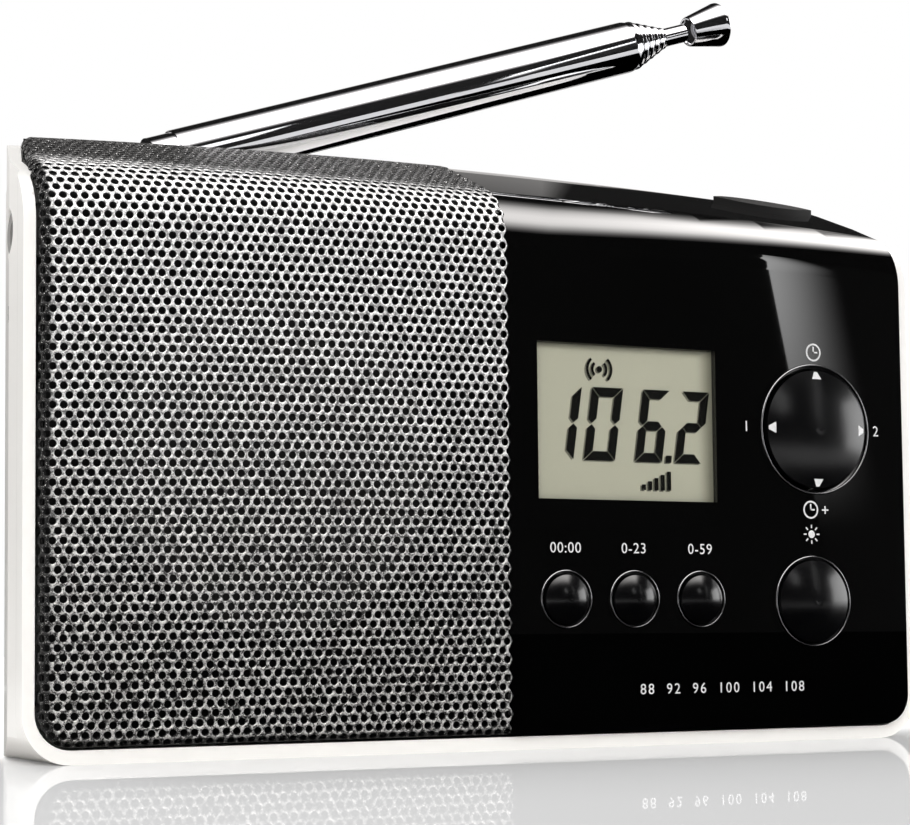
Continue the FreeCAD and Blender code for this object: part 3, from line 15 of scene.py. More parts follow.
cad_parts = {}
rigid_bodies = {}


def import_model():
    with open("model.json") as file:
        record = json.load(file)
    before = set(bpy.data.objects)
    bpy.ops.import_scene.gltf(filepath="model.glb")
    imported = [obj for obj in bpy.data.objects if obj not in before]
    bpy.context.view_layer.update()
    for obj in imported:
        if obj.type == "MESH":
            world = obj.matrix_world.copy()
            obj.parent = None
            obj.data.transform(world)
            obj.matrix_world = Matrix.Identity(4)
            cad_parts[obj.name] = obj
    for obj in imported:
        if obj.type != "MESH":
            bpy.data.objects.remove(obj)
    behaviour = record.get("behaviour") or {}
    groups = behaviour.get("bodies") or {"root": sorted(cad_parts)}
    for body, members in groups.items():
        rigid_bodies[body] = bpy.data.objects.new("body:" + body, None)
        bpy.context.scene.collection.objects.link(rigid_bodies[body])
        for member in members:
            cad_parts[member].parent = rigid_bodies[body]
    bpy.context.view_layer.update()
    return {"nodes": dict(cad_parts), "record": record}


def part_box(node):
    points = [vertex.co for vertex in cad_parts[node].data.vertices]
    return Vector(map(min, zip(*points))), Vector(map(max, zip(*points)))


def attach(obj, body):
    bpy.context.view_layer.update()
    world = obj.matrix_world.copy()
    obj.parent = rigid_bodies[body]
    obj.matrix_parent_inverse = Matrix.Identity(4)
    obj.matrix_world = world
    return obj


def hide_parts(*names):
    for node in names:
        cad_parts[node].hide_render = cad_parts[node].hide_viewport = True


for thing in list(bpy.data.objects):
    bpy.data.objects.remove(thing)

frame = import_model()

MM = 0.001
QUARTER = math.pi / 2
BLACK = (0, 0, 0, 1)
WHITE = (1, 1, 1, 1)


# ---- shader maths --------------------------------------------------------------------------------

class Flow:
    """One output of a finish's node, on which sums are written as on a number."""

    def __init__(self, finish, socket):
        self.finish = finish
        self.socket = socket

    def reckon(self, operation, *terms):
        return self.finish.node("ShaderNodeMath", {"operation": operation}, dict(enumerate(terms)))

    def __rsub__(self, other):
        return self.reckon("SUBTRACT", other, self)

    def __abs__(self):
        return self.reckon("ABSOLUTE", self)

    def at_least(self, other):
        """The larger of this and the other."""
        return self.reckon("MAXIMUM", self, other)

    def ramp(self, low, high):
        """0 up to low, 1 from high on, and a smooth rise between them."""
        settings = {"interpolation_type": "SMOOTHSTEP"}
        inputs = {"Value": self, "From Min": low, "From Max": high}
        return self.finish.node("ShaderNodeMapRange", settings, inputs)


for sign, operation in (("add", "ADD"), ("radd", "ADD"), ("sub", "SUBTRACT"), ("mul", "MULTIPLY"),
                        ("rmul", "MULTIPLY"), ("truediv", "DIVIDE"), ("gt", "GREATER_THAN"),
                        ("lt", "LESS_THAN"), ("mod", "FLOORED_MODULO")):
    setattr(Flow, "__%s__" % sign, lambda flow, other, operation=operation:
            flow.reckon(operation, flow, other))


class Finish:
    """A material: one Principled shader, and the nodes that feed it."""

    def __init__(self, name, **values):
        self.material = bpy.data.materials.new(name)
        self.material.use_nodes = True
        self.tree = self.material.node_tree
        self.shader = self.tree.nodes["Principled BSDF"]
        for socket, value in values.items():
            self.shader.inputs[socket.replace("_", " ")].default_value = value

    def node(self, kind, settings=None, inputs=None, output=0):
        """A node with its settings made first, then its sockets' values or links."""
        node = self.tree.nodes.new(kind)
        for key, value in (settings or {}).items():
            if key == "stops":
                for stop, (place, colour) in zip(self.stops(node, len(value)), value):
                    stop.position = place
                    stop.color = colour
            else:
                setattr(node, key, value)
        for socket, value in (inputs or {}).items():
            if isinstance(value, Flow):
                self.tree.links.new(value.socket, node.inputs[socket])
            else:
                node.inputs[socket].default_value = value
        return Flow(self, node.outputs[output])

    @staticmethod
    def stops(node, count):
        while len(node.color_ramp.elements) < count:
            node.color_ramp.elements.new(1.0)
        return node.color_ramp.elements

    def feed(self, socket, flow):
        self.tree.links.new(flow.socket, self.shader.inputs[socket])

    def place(self):
        """The point on the piece, in metres."""
        return self.node("ShaderNodeTexCoord", output="Object")

    def axes(self):
        """The point's x, y and z in millimetres."""
        split = self.node("ShaderNodeSeparateXYZ", inputs={0: self.place()}).socket.node
        return [Flow(self, output) / MM for output in split.outputs]

    def noise(self, grain, detail=3.0, stretch=(1, 1, 1)):
        """A cloudy pattern from 0 to 1 whose clouds are grain millimetres wide."""
        scaled = self.node("ShaderNodeMapping", inputs={"Vector": self.place(), "Scale": stretch})
        inputs = {"Vector": scaled, "Scale": 1 / (grain * MM), "Detail": detail}
        return self.node("ShaderNodeTexNoise", inputs=inputs)

    def blend(self, amount, first, second):
        """Colour first where amount is 0 and second where it is 1."""
        inputs = {"Factor": amount, 6: tone(first), 7: tone(second)}
        return self.node("ShaderNodeMix", {"data_type": "RGBA"}, inputs, output=2)

    def colour(self, amount, first, second):
        self.feed("Base Color", self.blend(amount, first, second))

    def emboss(self, height, depth):
        """Raises the surface by height, from 0 to 1, times depth in millimetres."""
        inputs = {"Height": height, "Distance": depth * MM, "Strength": 1.0}
        self.feed("Normal", self.node("ShaderNodeBump", inputs=inputs))

    def glow(self, colour):
        """Black, with a light of its own in that colour."""
        self.shader.inputs["Base Color"].default_value = BLACK
        self.shader.inputs["Emission Strength"].default_value = 1.0
        self.feed("Emission Color", colour)

    def surface(self):
        return Flow(self, self.shader.outputs[0])

    def finish_with(self, flow):
        """Gives the material's surface that shader in place of the Principled one."""
        self.tree.links.new(flow.socket, self.tree.nodes["Material Output"].inputs["Surface"])


def tone(colour):
    """A screen colour, 0 to 255, as the linear one that nodes take. Others stay as they are."""
    if isinstance(colour, Flow) or len(colour) == 4:
        return colour
    levels = [level / 255 for level in colour]
    return (*(level / 12.92 if level <= 0.04045 else ((level + 0.055) / 1.055) ** 2.4
              for level in levels), 1)


# ---- finishes ------------------------------------------------------------------------------------

def white_shell():
    """Glossy white moulding: barely uneven, and a little greyer in places."""
    finish = Finish("white shell plastic", IOR=1.49, Coat_Weight=0.25, Coat_Roughness=0.08)
    cloud = finish.noise(9.0)
    grain = finish.noise(0.5, 2.0)
    finish.colour(cloud.ramp(0.35, 0.75), (246, 244, 240), (244, 242, 238))
    finish.feed("Roughness", 0.3 + 0.08 * cloud + 0.03 * grain)
    finish.emboss(grain, 0.0008)
    return finish.material


def piano_black(seam):
    """Piano black moulding, polished where it shows and dull under the grille, left of the seam."""
    finish = Finish("piano black plastic", IOR=1.5, Coat_Roughness=0.01)
    x = finish.axes()[0]
    hidden = 1 - x.ramp(seam - 0.4, seam - 0.2)
    haze = finish.noise(14.0, 2.0)
    specks = finish.noise(0.25, 1.0)
    finish.colour(haze, (1, 1, 1), (3, 3, 3))
    finish.feed("Roughness", 0.01 + 0.015 * haze + 0.02 * specks.ramp(0.62, 0.8) + 0.9 * hidden)
    finish.feed("Coat Weight", 1 - hidden)
    finish.emboss(finish.noise(22.0, 0.0), 0.002)
    return finish.material


def satin_black():
    """Satin black moulding, as on keys: fine spark-eroded grain under a soft sheen."""
    finish = Finish("satin black plastic", IOR=1.5)
    cloud = finish.noise(3.0)
    grain = finish.noise(0.12, 2.0)
    finish.colour(cloud, (2, 2, 3), (6, 6, 7))
    finish.feed("Roughness", 0.16 + 0.05 * cloud + 0.03 * grain)
    finish.emboss(grain, 0.002)
    return finish.material


def grille_steel(low):
    """Perforated sheet of blasted steel in mottled spots, with painted shade: darker towards the
    foot, and near black over the top and where it folds back at the left and foot."""
    finish = Finish("blasted steel", Metallic=0.6, IOR=1.5)
    x, _, z = finish.axes()
    side = (low.x + PANEL_CORNER - x).at_least(0)
    foot = (low.z + PANEL_CORNER - z).at_least(0)
    shaded_fold = (side * side + 0.7 * foot * foot).ramp(5.2, 9.0)
    shaded_top = z.ramp(66.4, 69.0)
    mottle = finish.noise(0.36, 3.0)
    grain = finish.noise(0.12, 2.0)
    # Painted shade: the steel is painted darker towards the foot and brightest towards the brow.
    height = z.ramp(8.0, 66.0)
    wear = (0.65 * mottle + 0.35 * grain).ramp(0.41, 0.6)
    worn_with_painted_shade = finish.blend(height, (44, 43, 42), (150, 150, 150))
    clean_with_painted_shade = finish.blend(height, (214, 213, 211), (253, 253, 253))
    sheet = finish.blend(wear, worn_with_painted_shade, clean_with_painted_shade)
    # Painted shade: near black over the top and where the sheet folds back, with a few light specks
    # left.
    dark = shaded_fold.at_least(shaded_top) * (1 - 0.8 * grain.ramp(0.6, 0.7))
    finish.colour(dark, sheet, (24, 24, 24))
    finish.feed("Roughness", 0.36 + 0.2 * mottle - 0.16 * shaded_top)
    finish.emboss((grain + 0.8 * mottle) * (1 - 0.6 * shaded_top), 0.05)
    return finish.material


def clear_lens():
    """Clear window over the display."""
    finish = Finish("clear acrylic", IOR=1.49, Alpha=0.06)
    haze = finish.noise(6.0, 1.0)
    finish.colour(haze, (60, 62, 58), (74, 75, 72))
    finish.feed("Roughness", 0.03 + 0.03 * haze)
    return finish.material


def lcd_panel(right, top):
    """Reflective liquid crystal panel: grey-green, with painted shade close to its right and upper
    edges, where the window's walls shade it.
    """
    finish = Finish("liquid crystal panel", IOR=1.5)
    x, _, z = finish.axes()
    beside, above = x.ramp(right - 2.6, right), z.ramp(top - 0.9, top)
    grain = finish.noise(0.2, 1.0)
    plain = finish.blend(grain, (168, 167, 147), (172, 171, 151))
    # Painted shade: darker close to the right and upper edges of the window.
    rim = 0.85 * beside.at_least(above)
    finish.colour(rim, plain, (104, 103, 86))
    finish.feed("Roughness", 0.4 + 0.1 * grain)
    return finish.material


def lcd_shade():
    """The soft shade that the segments throw on the panel's back."""
    finish = Finish("segment shade", Roughness=0.6)
    cloud = finish.noise(0.8, 1.0)
    finish.colour(cloud, (120, 119, 101), (128, 127, 108))
    finish.feed("Alpha", 0.5 + 0.15 * cloud)
    return finish.material


def ink(name, shade, stain, grain, detail, **values):
    """Ink of one colour, a little cloudy."""
    finish = Finish(name, **values)
    finish.colour(finish.noise(grain, detail), shade, stain)
    return finish.material


def chrome(name, shade, stain, rough):
    """Bright plating with the faint haze that handling leaves."""
    finish = Finish(name, Metallic=1.0)
    cloud = finish.noise(5.0, 3.0)
    finish.colour(cloud, shade, stain)
    finish.feed("Roughness", rough + 0.03 * cloud)
    return finish.material


def plain_metal(name, shade, stain, rough, grain=1.5):
    """Plated or rolled sheet: cloudy shade and fine drawn lines."""
    finish = Finish(name, Metallic=1.0)
    cloud = finish.noise(grain)
    lines = finish.noise(0.3, 2.0, (1, 6, 6))
    finish.colour(cloud, shade, stain)
    finish.feed("Roughness", rough + 0.12 * cloud + 0.06 * lines)
    finish.emboss(lines, 0.006)
    return finish.material


def moulded(name, shade, stain, rough, grain=0.3, **values):
    """A plain moulding: cloudy shade and moulded grain."""
    finish = Finish(name, **values)
    cloud = finish.noise(4.0)
    fine = finish.noise(grain, 2.0)
    finish.colour(cloud, shade, stain)
    finish.feed("Roughness", rough + 0.1 * fine)
    finish.emboss(fine, 0.01)
    return finish.material


def striped_rubber():
    """The display's connector strip: thin conducting layers in soft rubber."""
    finish = Finish("striped rubber", Roughness=0.7)
    x = finish.axes()[0]
    finish.colour((x % 0.2) > 0.1, (30, 30, 30), (90, 88, 84))
    return finish.material


PAD_PITCH = 2.54


def circuit_board():
    """Green solder mask over tracks, with dull pads on a grid."""
    finish = Finish("green circuit board", IOR=1.5)
    x, _, z = finish.axes()
    tracks = x.reckon("PINGPONG", x + z * 0.5, 1.1) > 0.7
    pads = ((x % PAD_PITCH) < 0.9) * ((z % PAD_PITCH) < 0.9)
    mask = finish.blend(tracks, (22, 92, 48), (30, 112, 60))
    finish.colour(pads, mask, (186, 184, 172))
    finish.feed("Metallic", pads * 0.8)
    finish.feed("Roughness", 0.3 + 0.1 * pads)
    finish.emboss(tracks, 0.02)
    return finish.material


def battery_sleeve(low, high):
    """Plain two-tone sleeve, with bare metal at both ends."""
    finish = Finish("battery sleeve")
    x = finish.axes()[0]
    body = (x > low.x + 1.4) * (x < high.x - 2.6)
    band = x.ramp(high.x - 17.0, high.x - 16.6)
    scuff = finish.noise(1.0)
    sleeve = finish.blend(band, (34, 74, 124), (205, 205, 208))
    finish.colour(body, (180, 180, 182), sleeve)
    finish.feed("Metallic", 1 - 0.75 * body)
    finish.feed("Roughness", 0.24 + 0.12 * scuff)
    return finish.material


WIRE = 0.32


def wound_wire():
    """Enamelled wire, one turn beside the next, with painted shade between the turns."""
    finish = Finish("enamelled wire", Metallic=0.9)
    x = finish.axes()[0]
    ridge = 1 - abs((x % WIRE) / WIRE * 2 - 1)
    # Painted shade: darker in the valleys between the turns and lighter on their crests.
    finish.colour(ridge, (96, 44, 16), (204, 116, 60))
    finish.feed("Roughness", 0.3 + 0.2 * (1 - ridge))
    finish.emboss(ridge, 0.12)
    return finish.material


def speaker_paper():
    """Pressed paper cone, with its fibres."""
    finish = Finish("pressed paper", Roughness=0.85)
    fibres = finish.noise(0.6, 4.0, (1, 1, 3))
    finish.colour(fibres, (22, 22, 22), (46, 44, 42))
    finish.emboss(fibres, 0.05)
    return finish.material


# ---- modelling by hand ---------------------------------------------------------------------------

def corners(box):
    """A box's lowest and highest corner, in millimetres."""
    return [Vector(corner) / MM for corner in box]


def start_afresh():
    """Back to object mode with nothing selected."""
    if bpy.context.mode != "OBJECT":
        bpy.ops.object.mode_set(mode="OBJECT")
    bpy.ops.object.select_all(action="DESELECT")


def take(piece):
    start_afresh()
    piece.select_set(True)
    bpy.context.view_layer.objects.active = piece


def pick(action="SELECT"):
    """Selects all that the piece in edit mode has, or nothing of it."""
    bpy.ops.mesh.select_all(action=action)


def edit(piece):
    take(piece)
    bpy.ops.object.mode_set(mode="EDIT")
    pick()


def leave():
    """Out of edit mode."""
    bpy.ops.object.mode_set(mode="OBJECT")


def close_up():
    """Turns the faces of the piece in edit mode outwards, and leaves it."""
    pick()
    bpy.ops.mesh.normals_make_consistent(inside=False)
    leave()


def pull(x, y, z):
    """Extrudes what is selected by that way, in millimetres."""
    bpy.ops.mesh.extrude_region_move(TRANSFORM_OT_translate={"value": (x * MM, y * MM, z * MM)})


def apply_place(piece):
    take(piece)
    bpy.ops.object.transform_apply(location=True, rotation=True, scale=True)


def draw_line(name, points, closed=False):
    """A new piece that is one chain of edges through the points, drawn by extruding a vertex.

    It stays in edit mode.
    """
    start_afresh()
    bpy.ops.mesh.primitive_plane_add(size=MM)
    piece = bpy.context.object
    piece.name = name
    edit(piece)
    bpy.ops.mesh.merge(type="CENTER")
    bpy.ops.transform.translate(value=Vector(points[0]) * MM)
    for before, after in zip(points, points[1:]):
        pull(*(Vector(after) - Vector(before)))
    if closed:
        pick()
        bpy.ops.mesh.edge_face_add()
    return piece


def make_solid(piece, depth):
    """Gives the drawn face of the piece that depth in Y and closes it."""
    edit(piece)
    pull(0, depth, 0)
    close_up()
    return piece


def plate(name, points, front, thick):
    """A flat shape in X and Z, drawn through its corners, with its face at front."""
    piece = draw_line(name, [(x, front, z) for x, z in points], closed=True)
    return make_solid(piece, thick)


def turn(name, outline, steps):
    """A round piece: its outline, as (radius, along) pairs, spun about the Z axis."""
    piece = draw_line(name, [(radius, 0, along) for radius, along in outline])
    pick()
    bpy.ops.mesh.spin(steps=steps, angle=math.tau, center=(0, 0, 0), axis=(0, 0, 1))
    pick()
    bpy.ops.mesh.remove_doubles(threshold=0.002 * MM)
    close_up()
    smooth(piece, 35)
    return piece


def smooth(piece, angle):
    take(piece)
    bpy.ops.object.shade_smooth_by_angle(angle=math.radians(angle))


def stand(piece, place, along):
    """Puts a piece turned about Z at its place, with its axis along that direction."""
    piece.rotation_mode = "QUATERNION"
    piece.rotation_quaternion = Vector((0, 0, 1)).rotation_difference(Vector(along))
    piece.location = Vector(place) * MM
    apply_place(piece)
    return piece


def join(name, pieces):
    start_afresh()
    for piece in pieces:
        piece.select_set(True)
    bpy.context.view_layer.objects.active = pieces[0]
    bpy.ops.object.join()
    joined = bpy.context.object
    joined.name = name
    return joined


def hand_in(piece, finish, body, slot, *nodes, edge=None):
    """Paints the piece, attaches it to the body it moves with and hides the nodes it stands for.

    With an edge finish, the faces that have the piece's second material get that one.
    """
    piece.data.name = piece.name
    second = np.empty(len(piece.data.polygons), dtype=np.int32)
    piece.data.polygons.foreach_get("material_index", second)
    piece.data.materials.clear()
    piece.data.materials.append(finish)
    if edge:
        piece.data.materials.append(edge)
        piece.data.polygons.foreach_set("material_index", second)
    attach(piece, body)
    if nodes:
        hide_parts(*nodes)


def modifier(piece, kind, **settings):
    """Adds a modifier to the piece and applies it."""
    take(piece)
    added = piece.modifiers.new(kind.title(), kind)
    for key, value in settings.items():
        setattr(added, key, value)
    bpy.ops.object.modifier_apply(modifier=added.name)


def points_of(piece):
    places = np.empty(len(piece.data.vertices) * 3)
    piece.data.vertices.foreach_get("co", places)
    return places.reshape(-1, 3) / MM


def put_points(piece, places):
    piece.data.vertices.foreach_set("co", (places * MM).ravel())
    piece.data.update()


# ---- speaker grille ------------------------------------------------------------------------------

# The sheet's way: up the front, round the brow, back along the slope and over the crown.
FRONT = -15.0
BROW = 60.9
BROW_RADIUS = 8.2
LEAN = math.radians(66)
SLOPE_END = 81.26
CROWN_RADIUS = 18.0
SHEET_PAST_SLOPE = 2.83
CROWN_SWEEP = 1121.0  # radius of the top's fall towards both ends

SHEET = 0.5
HOLE_PITCH = 1.25
ROW = HOLE_PITCH * math.sqrt(0.75)
HOLE = 0.46  # radius
LIP = 0.08
LIP_DEPTH = 0.1
COLUMNS = 48
ROW_PAIRS = 40
WELD = 0.01

FOLD = 1.2
FOLD_LENGTH = FOLD * QUARTER + 0.05
PANEL_CORNER = 3.8
SIDE_BEND = 70.3  # height from which the left edge runs inwards
SIDE_CLOSE = 0.196
LAYERS = (("grille_lower", 28.0), ("grille_front", 56.3), ("grille_top", 200.0))


def over_the_top(run):
    """Where the sheet is after a run up the front and over the top: y, z and how far it leans."""
    bend = BROW + BROW_RADIUS * LEAN
    lean = np.clip((run - BROW) / BROW_RADIUS, 0, LEAN)
    lean = lean + np.clip((run - SLOPE_END) / CROWN_RADIUS, 0, None)
    y = FRONT + BROW_RADIUS * (1 - np.cos(np.minimum(lean, LEAN)))
    z = np.minimum(run, BROW) + BROW_RADIUS * np.sin(np.minimum(lean, LEAN))
    slope = np.clip(run - bend, 0, SLOPE_END - bend)
    y = y + slope * math.sin(LEAN)
    z = z + slope * math.cos(LEAN)
    crown = np.maximum(lean, LEAN)
    y = y + CROWN_RADIUS * (math.cos(LEAN) - np.cos(crown))
    z = z + CROWN_RADIUS * (np.sin(crown) - math.sin(LEAN))
    return y, z, lean


def perforated_sheet(low, high):
    """The sheet laid out flat in X and Y: a hole in its six-sided cell, repeated and trimmed.

    The cell has twelve points, and every second one comes in to the middle of a side.
    """
    start_afresh()
    centre = Vector((-60 * MM, 0, 0))
    bpy.ops.mesh.primitive_circle_add(vertices=12, radius=HOLE * MM,
                                      location=centre + Vector((0, 0, LIP_DEPTH * MM)))
    sheet = bpy.context.object
    sheet.name = "perforated_sheet"
    apply_place(sheet)
    edit(sheet)
    reach = HOLE
    for drop, wide in ((-LIP_DEPTH, HOLE + LIP), (0, HOLE_PITCH / math.sqrt(3))):
        pull(0, 0, drop)
        bpy.ops.transform.resize(value=(wide / reach, wide / reach, 1), center_override=centre)
        reach = wide
    mesh = bmesh.from_edit_mesh(sheet.data)
    for vertex in mesh.verts:
        out = vertex.co - centre
        sixth = math.degrees(math.atan2(out.y, out.x)) % 60
        if vertex.select and (sixth < 5 or sixth > 55):
            vertex.co = centre + out * (math.sqrt(3) / 2)
    leave()
    for count, along, up in ((COLUMNS, HOLE_PITCH, 0), (2, HOLE_PITCH / 2, ROW),
                             (ROW_PAIRS, 0, 2 * ROW)):
        modifier(sheet, "ARRAY", count=count, constant_offset_displace=(along * MM, up * MM, 0),
                 use_relative_offset=False, use_constant_offset=True,
                 use_merge_vertices=True, merge_threshold=WELD * MM)
    left, foot = low.x + FOLD - FOLD_LENGTH, low.z + FOLD - FOLD_LENGTH
    right, top = high.x, SLOPE_END + SHEET_PAST_SLOPE
    corner = PANEL_CORNER - FOLD + FOLD_LENGTH
    cuts = [((right, 0), 0), ((0, top), 90), ((left, SIDE_BEND), 180 - math.degrees(SIDE_CLOSE))]
    cuts += [((left + corner - corner * math.cos(math.radians(angle)),
               foot + corner - corner * math.sin(math.radians(angle))), 180 + angle)
             for angle in range(0, 91, 15)]
    edit(sheet)
    bpy.ops.mesh.remove_doubles(threshold=WELD * MM)
    for (x, y), facing in cuts:
        pick()
        facing = math.radians(facing)
        bpy.ops.mesh.bisect(plane_co=(x * MM, y * MM, 0),
                            plane_no=(math.cos(facing), math.sin(facing), 0),
                            clear_outer=True)
    leave()
    return sheet


def fold_sheet(sheet, low):
    """Bends the flat sheet over the front and top, and folds its left and lower edges back."""
    places = points_of(sheet)
    x, run, sunk = places.T
    inner = PANEL_CORNER - FOLD
    side = low.x + SIDE_CLOSE * np.maximum(run - SIDE_BEND, 0)
    past_x = side + PANEL_CORNER - x
    past_run = low.z + PANEL_CORNER - run
    diagonal = np.hypot(past_x, past_run)
    in_corner = (past_x > 0) & (past_run > 0)
    length = np.maximum(diagonal, 1e-9)
    way_x = np.where(in_corner, past_x / length, np.where(past_x > past_run, 1.0, 0.0))
    way_run = np.where(in_corner, past_run / length, np.where(past_x > past_run, 0.0, 1.0))
    past = np.where(in_corner, diagonal, np.maximum(past_x, past_run)) - inner
    past = np.maximum(past, 0)
    turned = np.minimum(past / FOLD, QUARTER)
    back = past - FOLD * np.sin(turned) + sunk * np.sin(turned)
    x = x + way_x * back
    run = run + way_run * back
    depth = FOLD * (1 - np.cos(turned)) + np.maximum(past - FOLD * QUARTER, 0)
    depth = depth + sunk * np.cos(turned)
    y, z, lean = over_the_top(run)
    y = y + depth * np.cos(lean)
    z = z - depth * np.sin(lean)
    z = z - x ** 2 / (2 * CROWN_SWEEP) * np.clip(z / BROW, 0, 1)
    put_points(sheet, np.column_stack((x, y, z)))


def speaker_grille(finish, shaded_cut_edge):
    """The sheet in three pieces, one above the other. The walls of its holes and its cut edges are
    painted near black, as shade.
    """
    low, high = corners(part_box("speaker_grille"))
    rest = perforated_sheet(low, high)
    for name, top in LAYERS:
        edit(rest)
        bpy.ops.mesh.bisect(plane_co=(0, top * MM, 0), plane_no=(0, 1, 0))
        pick("DESELECT")
        mesh = bmesh.from_edit_mesh(rest.data)
        for face in mesh.faces:
            face.select_set(face.calc_center_median().y < top * MM)
        bpy.ops.mesh.separate(type="SELECTED")
        leave()
        piece = [made for made in bpy.context.selected_objects if made is not rest][0]
        piece.name = name
        fold_sheet(piece, low)
        edit(piece)
        bpy.ops.mesh.normals_make_consistent(inside=False)
        mesh = bmesh.from_edit_mesh(piece.data)
        if sum(face.normal.y for face in mesh.faces) > 0:
            bpy.ops.mesh.flip_normals()
        leave()
        piece.data.materials.append(finish)
        piece.data.materials.append(shaded_cut_edge)
        modifier(piece, "SOLIDIFY", thickness=SHEET * MM, offset=-1.0, material_offset_rim=1)
        smooth(piece, 75)
        hand_in(piece, finish, "case", "grille_steel", "speaker_grille", edge=shaded_cut_edge)
    bpy.data.objects.remove(rest)


# ---- display -------------------------------------------------------------------------------------

SEGMENTS = {"0": "abcdef", "1": "bc", "2": "abged", "6": "afgedc"}
SLANT = math.tan(math.radians(8.5))
LENS_FLANGE = 1.2
PICTURE_DEPTH = 0.75
FACE_GAP = 0.02
INK_THICK = 0.03
INK_PROUD = 0.06
SHADE_ASIDE = 0.22
SHADE_LOWER = 0.15
BAR_GAP = 0.07
FIGURE_BAR = 1.15


def window():
    """The edges of the display's opening, left, right, base and top, and how far back it shows."""
    low, high = corners(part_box("display_lens"))
    return (low.x + LENS_FLANGE, high.x - LENS_FLANGE, low.z + LENS_FLANGE,
            high.z - LENS_FLANGE, low.y + PICTURE_DEPTH)


def display_face(finish):
    """The panel's picture plane, close behind the window's front."""
    left, right, base, top, front = window()
    face = rectangle("display_face", left + FACE_GAP, base + FACE_GAP, right - left - 2 * FACE_GAP,
                     top - base - 2 * FACE_GAP, front, 0.1)
    hand_in(face, finish, "case", "lcd_panel")


def bars(width, height, thick):
    """The outlines of a figure's seven bars, with a fine gap between them."""
    inner, middle, half = thick + BAR_GAP, height / 2, thick / 2
    upper = [(0, height - BAR_GAP), (thick, height - inner), (thick, middle + half + BAR_GAP),
             (half, middle + BAR_GAP), (0, middle + half)]
    lower = [(x, height - z) for x, z in upper]
    top = [(BAR_GAP, height), (width - BAR_GAP, height), (width - inner, height - thick),
           (inner, height - thick)]
    cross = [(half + BAR_GAP, middle), (inner, middle + half), (width - inner, middle + half),
             (width - half - BAR_GAP, middle), (width - inner, middle - half),
             (inner, middle - half)]
    return {"a": top, "d": [(x, height - z) for x, z in top], "f": upper, "e": lower, "g": cross,
            "b": [(width - x, z) for x, z in upper], "c": [(width - x, z) for x, z in lower]}


def digit(name, figure, left, width, base, height, front):
    """A seven-segment figure from its bars, leaning to the right."""
    outlines = bars(width, height, FIGURE_BAR)
    return [plate(name, [(left + x + z * SLANT, base + z) for x, z in outlines[letter]], front,
                  INK_THICK)
            for letter in SEGMENTS[figure]]


def display_figures(ink, shade):
    """The figures and small signs of the display, with the shade that they throw behind them.

    Places and widths are shares of the window.
    """
    left, right, base, top, front = window()
    wide, tall = right - left, top - base
    figures = (("1", 0.034, 0.17), ("0", 0.26, 0.175), ("6", 0.547, 0.155), ("2", 0.774, 0.155))
    foot = base + tall * 0.253
    for name, aside, lower, finish, face in (
            ("display_shades", SHADE_ASIDE, SHADE_LOWER, shade, front - INK_THICK),
            ("display_figures", 0, 0, ink, front - INK_PROUD)):
        pieces = []
        for figure, start, share in figures:
            pieces += digit(name, figure, left + wide * start - aside, wide * share, foot - lower,
                            tall * 0.475, face)
        point = left + wide * 0.722 - aside
        dot = [(0, 0), (0.85, 0), (0.95, 0.9), (0.1, 0.9)]
        pieces.append(plate(name, [(point + x, foot - lower + z) for x, z in dot], face,
                            INK_THICK))
        pieces += wave_sign(name, left + wide * 0.355 - aside, base + tall * 0.845 - lower, face)
        pieces += bars_sign(name, left + wide * 0.585 - aside, base + tall * 0.07 - lower, face)
        hand_in(join(name, pieces), finish, "case", "lcd_panel")


def bow(centre, radius, angles):
    return [(centre[0] + radius * math.cos(angle), centre[1] + radius * math.sin(angle))
            for angle in angles]


def arc_band(name, centre, radius, thick, start, end, front, deep=INK_THICK, count=10):
    """A flat bow between two angles, in degrees."""
    angles = [math.radians(start + (end - start) * step / count) for step in range(count + 1)]
    outer = bow(centre, radius + thick / 2, angles)
    inner = bow(centre, radius - thick / 2, reversed(angles))
    return plate(name, outer + inner, front, deep)


def disc(name, centre, radius, front, deep=INK_THICK, count=20):
    angles = [math.tau * step / count for step in range(count)]
    return plate(name, bow(centre, radius, angles), front, deep)


def rectangle(name, x, z, width, height, front, deep=INK_THICK):
    points = [(x, z), (x + width, z), (x + width, z + height), (x, z + height)]
    return plate(name, points, front, deep)


def wave_sign(name, x, z, front):
    """Radio waves: a dot with two bows on either side."""
    pieces = [disc(name, (x, z), 0.4, front)]
    for radius in (1.0, 1.7):
        pieces.append(arc_band(name, (x, z), radius, 0.36, -48, 48, front))
        pieces.append(arc_band(name, (x, z), radius, 0.36, 132, 228, front))
    return pieces


def bars_sign(name, x, z, front):
    """Signal strength: five bars, each taller than the last."""
    return [rectangle(name, x + step * 0.92, z, 0.6, 0.7 + step * 0.42, front) for step in range(5)]


# ---- printed marks -------------------------------------------------------------------------------

PRINT = 0.02
FONT_SCALE = 1.42  # the font's size for each millimetre of a figure's height
RAY_START = 90  # well outside the radio


def lettering(name, text, x, z, height, front, spread=1.0):
    """Numbers as printed: made as text, turned into a mesh and set upright, centred on x."""
    start_afresh()
    bpy.ops.object.text_add()
    piece = bpy.context.object
    piece.name = name
    piece.data.body = text
    piece.data.align_x = "CENTER"
    piece.data.align_y = "CENTER"
    piece.data.size = height * FONT_SCALE * MM
    piece.data.space_character = spread
    piece.data.resolution_u = 3
    bpy.ops.object.convert(target="MESH")
    piece = bpy.context.object
    piece.rotation_euler = (QUARTER, 0, 0)
    piece.location = (x * MM, front * MM, z * MM)
    apply_place(piece)
    return make_solid(piece, PRINT)


